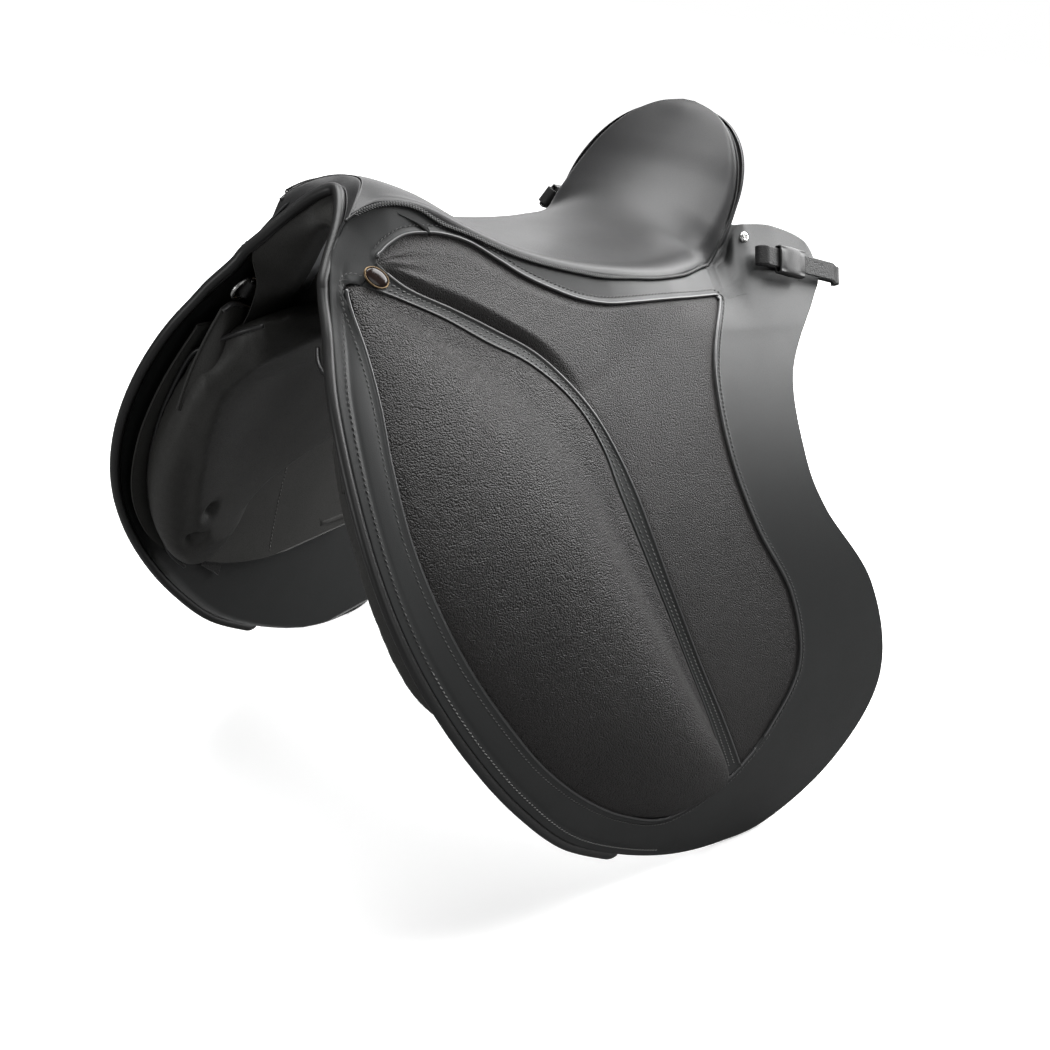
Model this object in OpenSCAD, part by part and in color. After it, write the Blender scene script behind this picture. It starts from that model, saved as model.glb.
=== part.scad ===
// Dressage saddle with external knee blocks.
// Front towards -Y, horse's left (near side) towards +X, seat's lowest point at the origin, mm.

/* [Side layers] */
// Thickness of the outer facing leather of the flaps
facing_t = 2.3; // [1.8:0.1:2.8]
// Thickness of the flaps' lower leather
flap_t = 2.4; // [1.8:0.1:3]
// Thickness of the girth straps
billet_t = 3.4; // [2.6:0.1:4]
// Thickness of the sweat flaps
sweat_t = 2.6; // [2:0.1:3.2]
// Free room on each side of the girth straps
strap_room = 2.2; // [1.8:0.1:3]
// Clear gap between neighbouring pieces
gap = 0.4; // [0.3:0.05:0.6]

/* [Knee block and inlay] */
// Height of the knee block at its crown
block_h = 29; // [18:1:36]
// Height of the knee block's sewn edge
block_edge = 1.2; // [0.6:0.1:2]
// Height of the calf inlay over the facing
inlay_h = 1.6; // [0.8:0.1:3]
// Extra height of the inlay's puffed front corner
inlay_puff = 6; // [2:0.5:9]
// Height of the strip between block and inlay
strip_h = 2; // [1:0.1:3]
// Radius of the rolled edge along the flap's front
roll_r = 4; // [3:0.25:5]

/* [Seat] */
// Thickness of the seat leather
seat_t = 2.4; // [1.8:0.1:3]
// Thickness of the seat foam
foam_t = 10; // [7:0.5:12]
// Thickness of the webs under the foam
web_t = 1.6; // [1.2:0.1:2]
// Thickness of the laminated tree
tree_t = 8; // [6:0.5:9]
// Thickness of the tree's steel plates
steel_t = 2; // [1.5:0.1:2.5]
// Radius of the plaited welt
welt_r = 2.6; // [2:0.1:3]
// Radius of the rolled binding of the front arch
binding_r = 4.5; // [3.5:0.25:5]
// Thickness of the pommel cap
cap_t = 3; // [2:0.25:4]
// Thickness of the cantle's back leather
back_t = 2.2; // [1.6:0.1:3]

/* [Panels] */
// Depth of the panels' filling
fill = 26; // [18:1:32]
// Half width of the spine channel
channel = 30; // [26:1:34]
// Thickness of the channel's lining
lining_t = 1.8; // [1.4:0.1:2.2]
// Length of the keeper slot in the sweat flap
slot_len = 46; // [30:1:56]
// Width of the keeper slot
slot_w = 5.2; // [5:0.2:7]

/* [Girth straps] */
// Width of a girth strap
billet_w = 32; // [26:1:36]
// Diameter of the buckle holes
billet_hole = 6; // [4:0.5:7]
// Distance between buckle holes
hole_pitch = 25; // [20:1:28]
// Number of buckle holes
hole_n = 6; // [3:1:8]

/* [Stirrup bars] */
// Length of the stirrup bar
bar_len = 64; // [54:1:72]
// Width of the stirrup bar
bar_w = 11; // [8:0.5:13]
// Thickness of the stirrup bar
bar_t = 4; // [3:0.25:4.5]
// Opening behind the bar for the stirrup leather
bar_slot = 6.6; // [5:0.2:7]
// Thickness of the bar's base plate
bar_plate = 3; // [2.4:0.1:3.2]
// Radius of the catch's hinge pin
pin_r = 1.5; // [1.2:0.1:1.8]
// Clearance around pins and bars that turn
pin_clear = 0.3; // [0.2:0.05:0.4]
// Wall around the hinge pin
knuckle_wall = 1.3; // [1:0.1:1.5]
// Length of the catch's tongue
catch_len = 8; // [6:0.5:9]

/* [Rings, straps and studs] */
// Inner width of the D-ring
ring_in = 17; // [14:0.5:20]
// Radius of the D-ring's wire
ring_r = 1.6; // [1.2:0.1:2]
// Length of the D-ring's straight sides
ring_leg = 5; // [4:0.5:7]
// Thickness of the D-ring's leather tab
tab_t = 2.4; // [1.8:0.1:2.8]
// Width of the rear strap
loop_w = 20; // [16:1:22]
// Length of the rear strap
loop_len = 126; // [100:2:130]
// Thickness of the rear strap's leather
loop_t = 2.2; // [1.8:0.1:2.6]
// Opening between the rear strap's two layers
loop_gap = 4.6; // [4.2:0.1:6]
// Length of the folded keeper
keeper_len = 46; // [30:1:50]
// Wall of the folded keeper
keeper_t = 1.6; // [1.2:0.1:2]
// Radius of the rear screws' heads
screw_r = 5.5; // [4:0.25:6.5]
// Height of the rear screws' heads
screw_h = 2.6; // [2:0.1:3]
// Long diameter of the oval stud
stud_long = 23; // [18:0.5:26]
// Short diameter of the oval stud
stud_short = 13; // [10:0.5:15]
// Height of the oval stud
stud_h = 2.4; // [1.8:0.1:3]
// Diameter of the tree's rivet heads
rivet_d = 9; // [7:0.5:10]
// Height of the tree's rivet heads
rivet_h = 1.6; // [1.2:0.1:2]

/* [Hidden] */
$fn = 40;
// The sides follow one bent sheet: an arc below its reference line and a reversed arc above it.
base_x = 131;
base_z = -72;
sweep_x = 0.2;
sweep_z = -0.03;
lean = 52;
curl = 0.097;
curl_up = -0.14;
// Levels of the layers, measured from the facing's outer surface
flap_top = -facing_t - gap;
flap_bot = flap_top - flap_t;
billet_top = flap_bot - strap_room;
billet_bot = billet_top - billet_t;
sweat_top = billet_bot - strap_room;
sweat_bot = sweat_top - sweat_t;
panel_top = sweat_bot - gap;
bar_top = flap_bot - 1.4;
bar_seat = bar_top - bar_t - bar_slot - bar_plate;
point_top = bar_seat - gap;
point_t = 6;
plate_top = point_top - point_t - gap;
// Depths under the seat's surface
foam_top = seat_t + gap;
web_top = foam_top + foam_t + gap;
tree_top = web_top + web_t + gap;
steel_top = tree_top + tree_t + gap;

// Control points: [y, distance down the sheet]
split = [[-236, -62], [-215, -66], [-199, -77], [-172, -91], [-126, -88], [-70, -58], [-10, -39], [60, -41],
         [135, -46], [276, -55]];
outline = [[-240, -60], [-255, -15], [-268, 30], [-274, 85], [-272, 140], [-261, 192], [-240, 243], [-208, 296],
           [-165, 350], [-108, 404], [-40, 443], [35, 473], [105, 486], [172, 482], [245, 432], [290, 345],
           [262, 240], [200, 158], [184, 100], [198, 30], [262, -38]];
block_front = [[-229, -42], [-233, -8], [-237, 30], [-243, 75], [-243, 125], [-233, 172], [-214, 220], [-186, 267],
               [-148, 317], [-102, 360], [-50, 395], [10, 418], [60, 414], [78, 402]];
block_rear = [[-217, -46], [-190, -44], [-160, -29], [-130, -10], [-103, 5], [-80, 26], [-64, 50], [-54, 80],
              [-49, 112], [-38, 153], [-22, 200], [2, 258], [35, 322], [76, 396]];
inlay_front = [[-203, -71], [-184, -53], [-150, -37], [-118, -20], [-90, -2], [-68, 24], [-51, 53], [-39, 86],
               [-29, 120], [-19, 160], [-4, 208], [22, 268], [55, 326], [95, 390]];
inlay_rear = [[-199, -77], [-172, -91], [-126, -88], [-70, -58], [-10, -39], [60, -41], [135, -46], [95, 25],
              [85, 95], [102, 163], [140, 230], [154, 300], [126, 354], [101, 391]];
seam = [[-226, -96], [-210, -106], [-191, -112], [-173, -113], [-158, -109], [-142, -100], [-120, -93], [-98, -84],
        [-74, -76], [-49, -70], [-22, -65], [6, -61], [37, -61], [68, -62], [102, -67], [136, -78],
        [150, -72], [165, -80], [178, -100], [196, -114], [234, -110], [272, -98]];
seam_root = [-236, -222, -204, -186, -168, -150, -126, -106, -82, -56, -28, 0, 32, 64, 100, 135, 150, 166, 184, 202,
             238, 276];
welt_end = 15;
sweat_line = [[-258, 20], [-263, 90], [-262, 150], [-250, 210], [-222, 262], [-186, 297], [-150, 317], [-107, 337],
              [-50, 352], [17, 358], [90, 357], [128, 335], [145, 280], [150, 200], [152, 110], [154, 30]];
sweat_edge = 8;
// Seat: middle line [y, z] and edge, row by row from pommel to cantle
seat_mid = [[-180, 42], [-160, 39], [-125, 29], [-85, 12], [-45, -1], [0, -9], [45, -12], [85, -11], [118, -5],
            [147, 8], [172, 25], [193, 45], [209, 66], [222, 84], [232, 98], [239, 104]];
seat_seam = [[-216, -102], [-191, -112], [-158, -109], [-120, -93], [-74, -76], [-22, -65], [37, -61], [80, -63],
             [112, -69.5], [138, -78.5]];
seat_rim = [[97, 182, 3], [92, 201, 34], [80, 215, 62], [61, 227, 84], [36, 236, 98], [8, 239, 104]];
// How far the seat's edge is tucked in from the side sheet, towards the cantle
seat_tuck = [[-2, 2, -2], [-7, 8, -6], [-13, 17, -11], [-18, 25, -15]];
seam_lift = 1.6;
seat_crown = 2;

function mix(a, b, v) = a + (b - a) * v;
function unit(v) = v / norm(v);
function clamp(v) = min(1, max(0, v));
function turn(t) = t > 0 ? curl : curl_up;
function slope(t) = lean + turn(t) * t;
// Point of the side sheet at y, t down from the reference line, d out from the surface
function sheet(y, t, d) = let (k = turn(t) * PI / 180, p = slope(t))
  [base_x + sweep_x * y + (abs(t) < 0.01 ? 0 : (sin(p) - sin(lean)) / k) + d * sin(p), y,
   base_z + sweep_z * y + (abs(t) < 0.01 ? 0 : (cos(p) - cos(lean)) / k) + d * cos(p)];
function on(p, d) = sheet(p[0], p[1], d);
// Smooth curve through control points, s from 0 to the last point's number
function curve(c, s) = let (n = len(c) - 1, i = min(floor(s), n - 1), f = s - i, p = c[max(0, i - 1)], q = c[i],
  r = c[i + 1], w = c[min(n, i + 2)]) q + f / 2 * (r - p + f * (2 * p - 5 * q + 4 * r - w + f * (3 * (q - r) + w - p)));
function refine(c, step) = [for (s = [0 : step : len(c) - 1]) curve(c, s)];
function part_of(c, a, b) = [for (i = [a : b]) c[i]];
// Where an edge line crosses the level t
function across(line, t) = lookup(t, [for (p = line) [p[1], p[0]]]);
// Straight lines between two edges that have as many points
function ruled(a, b, vs) = [for (i = [0 : len(a) - 1]) [for (v = vs) mix(a[i], b[i], v)]];
function lay(g, d) = [for (r = g) [for (p = r) on(p, d)]];
function total(v) = v * [for (x = v) 1];

// Closed solid between two grids of points
module slab(top, bot, ring = false) {
  n = len(top);
  m = len(top[0]);
  h = n * m;
  last = ring ? n - 1 : n - 2;
  pts = concat([for (r = top) each r], [for (r = bot) each r]);
  skin = [for (i = [0 : last], j = [0 : m - 2]) let (a = i * m + j, b = (i + 1) % n * m + j)
    each [[a, b, b + 1], [a, b + 1, a + 1], [h + a, h + b + 1, h + b], [h + a, h + a + 1, h + b + 1]]];
  long = [for (i = [0 : last]) let (a = i * m, b = (i + 1) % n * m, e = m - 1)
    each [[b, a, h + a], [b, h + a, h + b], [a + e, b + e, h + b + e], [a + e, h + b + e, h + a + e]]];
  ends = ring ? [] : [for (j = [0 : m - 2]) let (z = (n - 1) * m + j)
    each [[j, j + 1, h + j + 1], [j, h + j + 1, h + j], [z + 1, z, h + z + 1], [z, h + z, h + z + 1]]];
  faces = concat(skin, long, ends);
  size = total([for (f = faces) pts[f[0]] * cross(pts[f[1]], pts[f[2]])]);
  polyhedron(pts, size < 0 ? faces : [for (f = faces) [f[0], f[2], f[1]]]);
}

// Round bar along a path of points
module tube(path, r, up, sides = 8) {
  n = len(path);
  rings = [for (i = [0 : n - 1]) let (t = unit(path[min(i + 1, n - 1)] - path[max(i - 1, 0)]), s = unit(cross(t, up)),
    u = cross(s, t)) [for (a = [0 : 360 / sides : 359]) path[i] + r * (cos(a) * s + sin(a) * u)]];
  pts = concat([for (q = rings) each q], [path[0], path[n - 1]]);
  walls = [for (i = [0 : n - 2], j = [0 : sides - 1]) let (a = i * sides + j, b = i * sides + (j + 1) % sides)
    each [[a, b, b + sides], [a, b + sides, a + sides]]];
  lids = [for (j = [0 : sides - 1]) let (e = (n - 1) * sides, k = (j + 1) % sides)
    each [[n * sides, k, j], [n * sides + 1, e + j, e + k]]];
  faces = concat(walls, lids);
  size = total([for (f = faces) pts[f[0]] * cross(pts[f[1]], pts[f[2]])]);
  polyhedron(pts, size < 0 ? faces : [for (f = faces) [f[0], f[2], f[1]]]);
}

// Local frame on the sheet: x out, y rearward, z up the sheet
module on_sheet(y, t, d) {
  translate(sheet(y, t, d)) rotate([0, 0, -atan(sweep_x)]) rotate([atan(sweep_z / norm([1, sweep_x])), 0, 0])
    rotate([0, slope(t) - 90, 0]) children();
}

module off_side() {
  mirror([1, 0, 0]) children();
}

// Seat surface: row i, v from -1 (off edge) to 1 (near edge), e mm below the surface
function seat_edge(i) = i < len(seat_seam) ? sheet(seat_seam[i][0], seat_seam[i][1] - seam_lift, 0)
  + (i < 6 ? [0, 0, 0] : seat_tuck[i - 6])
  : seat_rim[i - len(seat_seam)];
function seat_pt(i, v, e) = let (c = seat_mid[i], b = seat_edge(i), w = clamp((i - 8) / 4), s = abs(v))
  [b[0] * v - 0.45 * e * v, c[0] + (b[1] - c[0]) * pow(s, 1.7) + 0.75 * e * w,
   c[1] + (b[2] - c[1]) * pow(s, 2.4) + 4 * seat_crown * (1 - w) * s * s * (1 - s) - e * (1 - 0.45 * w)];
function seat_grid(rows, vs, e) = [for (i = rows) [for (v = vs) seat_pt(i, v, e)]];
// Columns of the seat's grid that all its layers share
seat_vs = [-1, -0.94, -0.82, -0.65, -0.45, -0.22, 0, 0.22, 0.45, 0.65, 0.82, 0.94, 1];
module seat_layer(rows, cols, e, thick) {
  vs = [for (k = cols) seat_vs[k]];
  slab(seat_grid(rows, vs, e), seat_grid(rows, vs, e + thick));
}

module seat_cover() {
  color("#242424") seat_layer([0 : len(seat_mid) - 1], [0 : 12], 0, seat_t);
}

module seat_foam() {
  color("#c9b27a") seat_layer([1 : 12], [1 : 11], foam_top, foam_t);
}

module seat_webs() {
  color("#d8cdb4") {
    seat_layer([2 : 11], [4, 5], web_top, web_t);
    seat_layer([2 : 11], [7, 8], web_top, web_t);
  }
}

module tree_frame() {
  color("#9a7448") {
    seat_layer([0 : 2], [2 : 10], tree_top, tree_t);
    seat_layer([2 : 10], [2 : 4], tree_top, tree_t);
    seat_layer([2 : 10], [8 : 10], tree_top, tree_t);
    seat_layer([10 : 12], [2 : 10], tree_top, tree_t);
  }
}

module head_plate() {
  color("#8d9196") seat_layer([0 : 2], [4 : 8], steel_top, steel_t);
}

// Arch under the head: legs inside the tree points, k from 0 (leg's end) to 6 (middle)
arch_top = seat_mid[1][1] - steel_top - steel_t - 2 * gap;
function arch_pt(y, k, e) = k < 3 ? sheet(y, -35 - 22 * k, plate_top - e)
  : let (a = sheet(y, -79, plate_top - e), f = (k - 2) / 4)
    [a[0] * (1 - f), y, mix(a[2], arch_top - e, sin(90 * f))];

module gullet_plate() {
  ys = [-204, -186, -168];
  path = [for (k = [0 : 6]) [for (y = ys) arch_pt(y, k, 0)]];
  under = [for (k = [0 : 6]) [for (y = ys) arch_pt(y, k, steel_t)]];
  flip = function (g) [for (k = [5 : -1 : 0]) [for (p = g[k]) [-p[0], p[1], p[2]]]];
  color("#7c8086") slab(concat(path, flip(path)), concat(under, flip(under)));
}

module tree_point() {
  front = [[-205, -70], [-205, -48], [-203, -25], [-200, -2]];
  rear = [[-95, -70], [-100, -48], [-150, -25], [-180, -2]];
  g = ruled(front, rear, [0, 0.5, 1]);
  color("#8a6a44") slab(lay(g, point_top), lay(g, point_top - point_t));
}

module spring_steel(cols) {
  color("#8d9196") seat_layer([3 : 9], cols, steel_top, steel_t);
}

// Rivet head under the middle of a spring steel's length i
module tree_rivet(i, cols) {
  e = steel_top + steel_t;
  c = [for (k = cols, j = [i, i + 1]) seat_pt(j, seat_vs[k], e)];
  n = unit(cross(c[3] - c[0], c[2] - c[1]));
  d = n[2] < 0 ? n : -n;
  translate((c[0] + c[1] + c[2] + c[3]) / 4 + 2 * gap * d) rotate([0, acos(d[2]), atan2(d[1], d[0])])
    cylinder(d = rivet_d, h = rivet_h);
}

module tree_rivets() {
  color("#b7a15c")
    for (i = [3, 5, 6]) {
      tree_rivet(i, [2, 3]);
      tree_rivet(i, [9, 10]);
    }
}

bar_y = -128;
bar_t0 = -46;
hinge_y = bar_len / 2 + 6;
knuckle_r = pin_r + pin_clear + knuckle_wall;
hinge_x = bar_plate + knuckle_r + gap / 2;

module stirrup_bar() {
  half = bar_len / 2;
  color("#a9adb1") on_sheet(bar_y, bar_t0, bar_seat) difference() {
    union() {
      translate([0, -half, -bar_w / 2 - 4]) cube([bar_plate, bar_len + 6, bar_w + 8]);
      translate([0, -half, -bar_w / 2]) cube([bar_plate + bar_slot + bar_t, 8, bar_w]);
      translate([bar_plate + bar_slot, -half, -bar_w / 2]) cube([bar_t, bar_len, bar_w]);
      for (z = [-bar_w / 2 - 4, bar_w / 2]) translate([hinge_x, hinge_y, z]) cylinder(r = knuckle_r, h = 4);
      for (z = [-bar_w / 2 - 4, bar_w / 2]) translate([0, hinge_y - knuckle_r, z]) cube([hinge_x, 2 * knuckle_r, 4]);
    }
    translate([hinge_x, hinge_y, -bar_w]) cylinder(r = pin_r + gap / 2, h = 2 * bar_w);
  }
}

module bar_catch() {
  tall = bar_w - 2 * gap;
  color("#bfc3c6") on_sheet(bar_y, bar_t0, bar_seat) difference() {
    union() {
      translate([hinge_x, hinge_y, -tall / 2]) cylinder(r = knuckle_r - gap / 2, h = tall);
      translate([hinge_x, hinge_y - 1.2, -tall / 2]) cube([catch_len, 2.4, tall]);
    }
    translate([hinge_x, hinge_y, -bar_w]) cylinder(r = pin_r + pin_clear, h = 2 * bar_w);
  }
}

module catch_pin() {
  on_sheet(bar_y, bar_t0, bar_seat) translate([hinge_x, hinge_y, -bar_w / 2 - 4]) cylinder(r = pin_r, h = bar_w + 8);
}

module catch_pins() {
  color("#8d9196") {
    catch_pin();
    off_side() catch_pin();
  }
}

// Web from the tree's edge down behind the girth straps' tops
module girth_web() {
  rail = [for (i = [4 : 7]) seat_pt(i, seat_vs[10], tree_top + tree_t / 2) + [gap, 0, 0]];
  pts = function (d, w) [for (p = rail) concat([for (t = [2, -12, -25, -38]) sheet(p[1], t, d)], [p + w * [0.53, 0, 0.85]])];
  color("#d8cdb4") slab(pts(billet_bot - gap, web_t), pts(billet_bot - gap - web_t, 0));
}

// A girth strap from its pivot at [y0, t0] to its tip at [y1, t1]
module billet(a, b) {
  n = 14;
  d = unit(b - a);
  s = [d[1], -d[0]];
  long = norm(b - a);
  mid = [for (i = [0 : n]) a + d * (long * i / n - 14 * (1 - i / n))];
  left = [for (i = [0 : n]) mid[i] - s * billet_w / 2 - (i == n ? d * 16 : d * 0)];
  right = [for (i = [0 : n]) mid[i] + s * billet_w / 2];
  g = ruled(left, right, [0, 0.5, 1]);
  color("#1d1d1d") difference() {
    slab(lay(g, billet_top), lay(g, billet_bot));
    for (k = [1 : hole_n]) {
      q = b - d * (30 + hole_pitch * (k - 1));
      on_sheet(q[0], q[1], billet_bot - 1) rotate([0, 90, 0]) cylinder(d = billet_hole, h = billet_t + 2, $fn = 16);
    }
  }
}

front_top = [-50, -12];
front_tip = [-126, 350];
rear_top = [50, -12];
rear_tip = [28, 335];

// Panel: rows from the channel out to the side, then down behind the knee
channel_z = [[-250, -72], [-180, -61], [-100, -53], [0, -48], [100, -45], [240, -42]];
fold_t = 45;
panel_s = [0, 0.2, 0.45, 0.7, 1];
panel_t = [100, 140, 175, 205, 235, 265, 295, 318];
panel_front = [-238, -246, -252, -258, -262, -264, -262, -257, -249, -238, -222, -200, -172];
panel_rear = [238, 242, 232, 205, 170, 148, 100, 40, -52, -92, -112, -132, -150];
panel_full = [0.3, 0.8, 1, 1, 1, 1.05, 1.1, 1.15, 1.2, 1.2, 1.15, 0.9, 0.4];

// Outer face [x, z] and slope of the bearing part, a smooth bridge from the channel to the fold
function bridge(y, s) = let (a = [channel, lookup(y, channel_z)], f = sheet(y, fold_t, panel_top), b = [f[0], f[2]],
  l = norm(b - a), h = slope(fold_t) - 12, ta = l * [0.94, -0.34], tb = 0.6 * l * [cos(h), -sin(h)], s2 = s * s, s3 = s2 * s,
  p = (2 * s3 - 3 * s2 + 1) * a + (s3 - 2 * s2 + s) * ta + (3 * s2 - 2 * s3) * b + (s3 - s2) * tb,
  g = (6 * s2 - 6 * s) * a + (3 * s2 - 4 * s + 1) * ta + (6 * s - 6 * s2) * b + (3 * s2 - 2 * s) * tb) [p, unit(g)];
function panel_pt(row, v, e) = let (y = mix(panel_front[row], panel_rear[row], v), n = len(panel_s))
  row < n ? let (q = bridge(y, panel_s[row])) [q[0][0] + q[1][1] * e, y, q[0][1] - q[1][0] * e]
  : sheet(y, panel_t[row - n], panel_top - e);
function puff(v) = pow(max(0, 1 - pow(abs(2 * v - 1), 5)), 0.5);

module panel() {
  vs = [0, 0.015, 0.05, 0.12, 0.25, 0.4, 0.55, 0.7, 0.82, 0.92, 0.97, 0.99, 1];
  rows = [0 : len(panel_front) - 1];
  color("#2b2b2b") slab([for (r = rows) [for (v = vs) panel_pt(r, v, 0)]],
    [for (r = rows) [for (v = vs) panel_pt(r, v, 3 + (fill - 3) * panel_full[r] * puff(v))]]);
}

// Lining of the arch and the channel, rows from front to rear
module gullet_lining() {
  e0 = steel_t + gap;
  arch = function (y, e) [for (k = [6 : -1 : 0]) arch_pt(y, k, e)];
  tunnel = function (y, top, e) let (z = lookup(y, channel_z) + lining_t)
    [for (k = [6 : -1 : 0]) let (f = (6 - k) / 6) [(channel - gap - 0.2) * sin(90 * f), y, mix(z, top, cos(90 * f)) - e]];
  rows = function (e) [arch(-212, e0 + e), arch(-204, e0 + e), arch(-186, e0 + e), arch(-168, e0 + e),
    tunnel(-128, -8, e), tunnel(-70, -30, e), tunnel(0, -40, e), tunnel(80, -40, e), tunnel(160, -37, e),
    tunnel(234, -34, e)];
  whole = function (g) [for (r = g) concat([for (k = [6 : -1 : 1]) [-r[k][0], r[k][1], r[k][2]]], r)];
  color("#303030") slab(whole(rows(0)), whole(rows(lining_t)));
}

module sweat_flap() {
  front = refine(part_of(sweat_line, 0, 9), 0.5);
  rear = refine(part_of(sweat_line, 10, 15), 0.5);
  ts = concat([for (k = [0 : 11]) mix(sweat_edge, 338, k / 11)], [347, 353, 356]);
  g = [for (v = [0, 0.5, 1]) [for (t = ts) [mix(across(front, t), across(rear, t), v), t]]];
  color("#2a2a2a") difference() {
    slab(lay(g, sweat_top), lay(g, sweat_bot));
    on_sheet(68, 342, sweat_bot - 1) rotate([-4, 0, 0]) translate([0, -slot_len / 2, -slot_w / 2])
      cube([sweat_t + 2, slot_len, slot_w]);
  }
}

split_fine = refine(split, 0.25);
module skirt() {
  lower = [for (q = refine([for (y = seam_root) [y, 0]], 0.5)) [q[0], lookup(q[0], split_fine) - 2 * gap]];
  upper = [for (p = refine(seam, 0.5)) p + [0, 1.4 + seam_lift]];
  g = ruled(upper, lower, [0, 0.5, 1]);
  color("#262626") slab(lay(g, 0), lay(g, -facing_t));
}

module welt() {
  path = refine([for (i = [0 : welt_end]) on(seam[i] + [0, 0.5], welt_r + gap)], 0.5);
  color("#1a1a1a") tube(path, welt_r, [1, 0, 1]);
}

module bar_tab() {
  g = ruled([[-176, -104], [-168, -105], [-160, -101]], [[-170, -97], [-162, -94], [-154, -92]], [0, 0.5, 1]);
  color("#1a1a1a") slab(lay(g, gap + 2), lay(g, gap));
}

// Lower leather: a patch from the split line to the level t = 0, then straight rows to the bottom
flap_inset = 1.6;
flap_drop = 1.6;
module flap() {
  front = refine(part_of(outline, 0, 12), 0.5);
  rear = refine(part_of(outline, 12, 20), 0.5);
  ts = concat([for (t = [0 : 30 : 420]) t], [445, 463, 475, 483]);
  n = 15;
  row = function (t, i) [mix(across(front, t) + flap_inset, across(rear, t), i / n), t];
  top = function (i) let (y = mix(split[0][0], 264, i / n)) [y, lookup(y, split_fine) + flap_drop + 4 * clamp((-190 - y) / 15)];
  g = [for (i = [0 : n]) concat([for (v = [0, 0.25, 0.5, 0.75]) mix(top(i), row(0, i), v)], [for (t = ts) row(t, i)])];
  color("#222222") slab(lay(g, flap_top), lay(g, flap_bot));
}

module facing() {
  n = len(inlay_rear) - 1;
  inner = concat(part_of(block_front, 0, 12), [for (i = [n : -1 : 5]) inlay_rear[i]]);
  g = ruled(refine(outline, 0.25), part_of(refine(inner, 0.25), 0, 80), [0, 0.33, 0.66, 0.98]);
  color("#262626") slab(lay(g, 0), lay(g, -facing_t));
}

// Domed height of the knee block over its length u and width v
function dome(u, v) = block_edge + (block_h - block_edge) * pow(max(0, sin(180 * pow(u, 1.3))), 0.6)
  * pow(max(0, sin(180 * v)), 0.55);

module knee_block() {
  n = 2 * (len(block_front) - 1);
  vs = [0.005, 0.03, 0.08, 0.17, 0.3, 0.45, 0.6, 0.74, 0.86, 0.94, 0.98, 0.995];
  g = ruled(refine(block_front, 0.5), refine(block_rear, 0.5), vs);
  top = [for (i = [0 : n]) [for (j = [0 : len(vs) - 1]) on(g[i][j], dome(i / n, (vs[j] - 0.005) / 0.99))]];
  color("#202020") slab(top, lay(g, -facing_t));
}

module calf_inlay() {
  rear = refine(inlay_rear, 0.5);
  n = len(rear) - 1;
  vs = [0.006, 0.05, 0.15, 0.35, 0.6, 0.85, 0.96, 0.992];
  upper = [for (i = [0 : n]) i > 12 ? rear[i] : [rear[i][0], lookup(rear[i][0], split_fine)]];
  g = ruled(refine(inlay_front, 0.5), upper, vs);
  puffed = function (i, v) inlay_h * min(1, 12 * v, 12 * (1 - v))
    + inlay_puff * max(0, sin(180 * min(1, i / 10))) * sin(180 * v);
  top = [for (i = [0 : n]) [for (j = [0 : len(vs) - 1]) on(g[i][j], puffed(i, vs[j]))]];
  color("#2a2a2a") slab(top, lay(g, -facing_t));
}

module block_strip() {
  g = ruled(refine(block_rear, 0.5), refine(inlay_front, 0.5), [0.07, 0.3, 0.7, 0.93]);
  top = [for (r = g) [on(r[0], 0), on(r[1], strip_h), on(r[2], strip_h), on(r[3], 0)]];
  color("#262626") slab(top, lay(g, -facing_t));
}

module flap_roll() {
  line = refine(part_of(outline, 0, 10), 0.25);
  n = len(line) - 1;
  path = [for (i = [0 : n]) let (t = unit(line[min(i + 1, n)] - line[max(i - 1, 0)]))
    on(line[i] + (roll_r + 2 * gap) * [-t[1], t[0]], -facing_t)];
  color("#1d1d1d") tube(path, roll_r, [1, 0, 0.6]);
}

// Middle line of the arch's binding, from the near foot over the pommel to the off foot
arch_near = [[0, -200, 38], [18, -211, 34], [30, -227, 24], sheet(-239, -88, -facing_t), sheet(-245.5, -63.5, -facing_t)];
arch_line = concat([for (k = [4 : -1 : 1]) arch_near[k]], [for (p = arch_near) [-p[0], p[1], p[2]]]);
module arch_binding() {
  color("#1d1d1d") tube(refine(arch_line, 0.25), binding_r, [0, 1, 0.3]);
}

module pommel_cap() {
  rear = [for (v = seat_vs) seat_pt(0, v, 0) - [0, 2.4 * gap, 0]];
  front = [for (i = [0 : 12]) let (s = 4 - 1.9 * seat_vs[i], c = curve(arch_line, s), w = rear[i] - c,
    t = unit(curve(arch_line, s + 0.05) - curve(arch_line, s - 0.05))) c + (binding_r + 3 * gap) * unit(w - (w * t) * t)];
  g = [for (i = [0 : 12]) [front[i], mix(front[i], rear[i], 0.5) + [0, 0, 0.8], rear[i]]];
  low = [for (i = [0 : 12]) [for (p = g[i]) p - cap_t * [0.45 * seat_vs[i], 0, 1]]];
  color("#242424") slab(g, low);
}

module cantle_back() {
  rim = [[100, 173.8, -10], [99.5, 185.2, 4], [95, 205, 33], [83, 220.5, 60.5], [64, 232.5, 81.5], [37, 241, 95],
         [0, 244.5, 100.5]];
  foot = [[97, 182, -26], [95, 190, -27], [88, 204, -28], [75, 219.5, -28], [53, 232.5, -27], [27, 241, -26], [0, 245, -26]];
  far = function (c) concat(c, [for (k = [len(c) - 2 : -1 : 0]) [-c[k][0], c[k][1], c[k][2]]]);
  inward = function (p) let (u = unit([-p[0], 150 - p[1], 0])) p + back_t * u;
  bulge = function (p, v) p + [0, 5 * sin(180 * v) * (1 - abs(p[0]) / 105), 0];
  vs = [0, 0.15, 0.4, 0.7, 1];
  g = ruled(far(rim), far(foot), vs);
  out = [for (r = g) [for (j = [0 : len(vs) - 1]) bulge(r[j], vs[j])]];
  color("#242424") slab(out, [for (r = out) [for (p = r) inward(p)]]);
}

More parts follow.
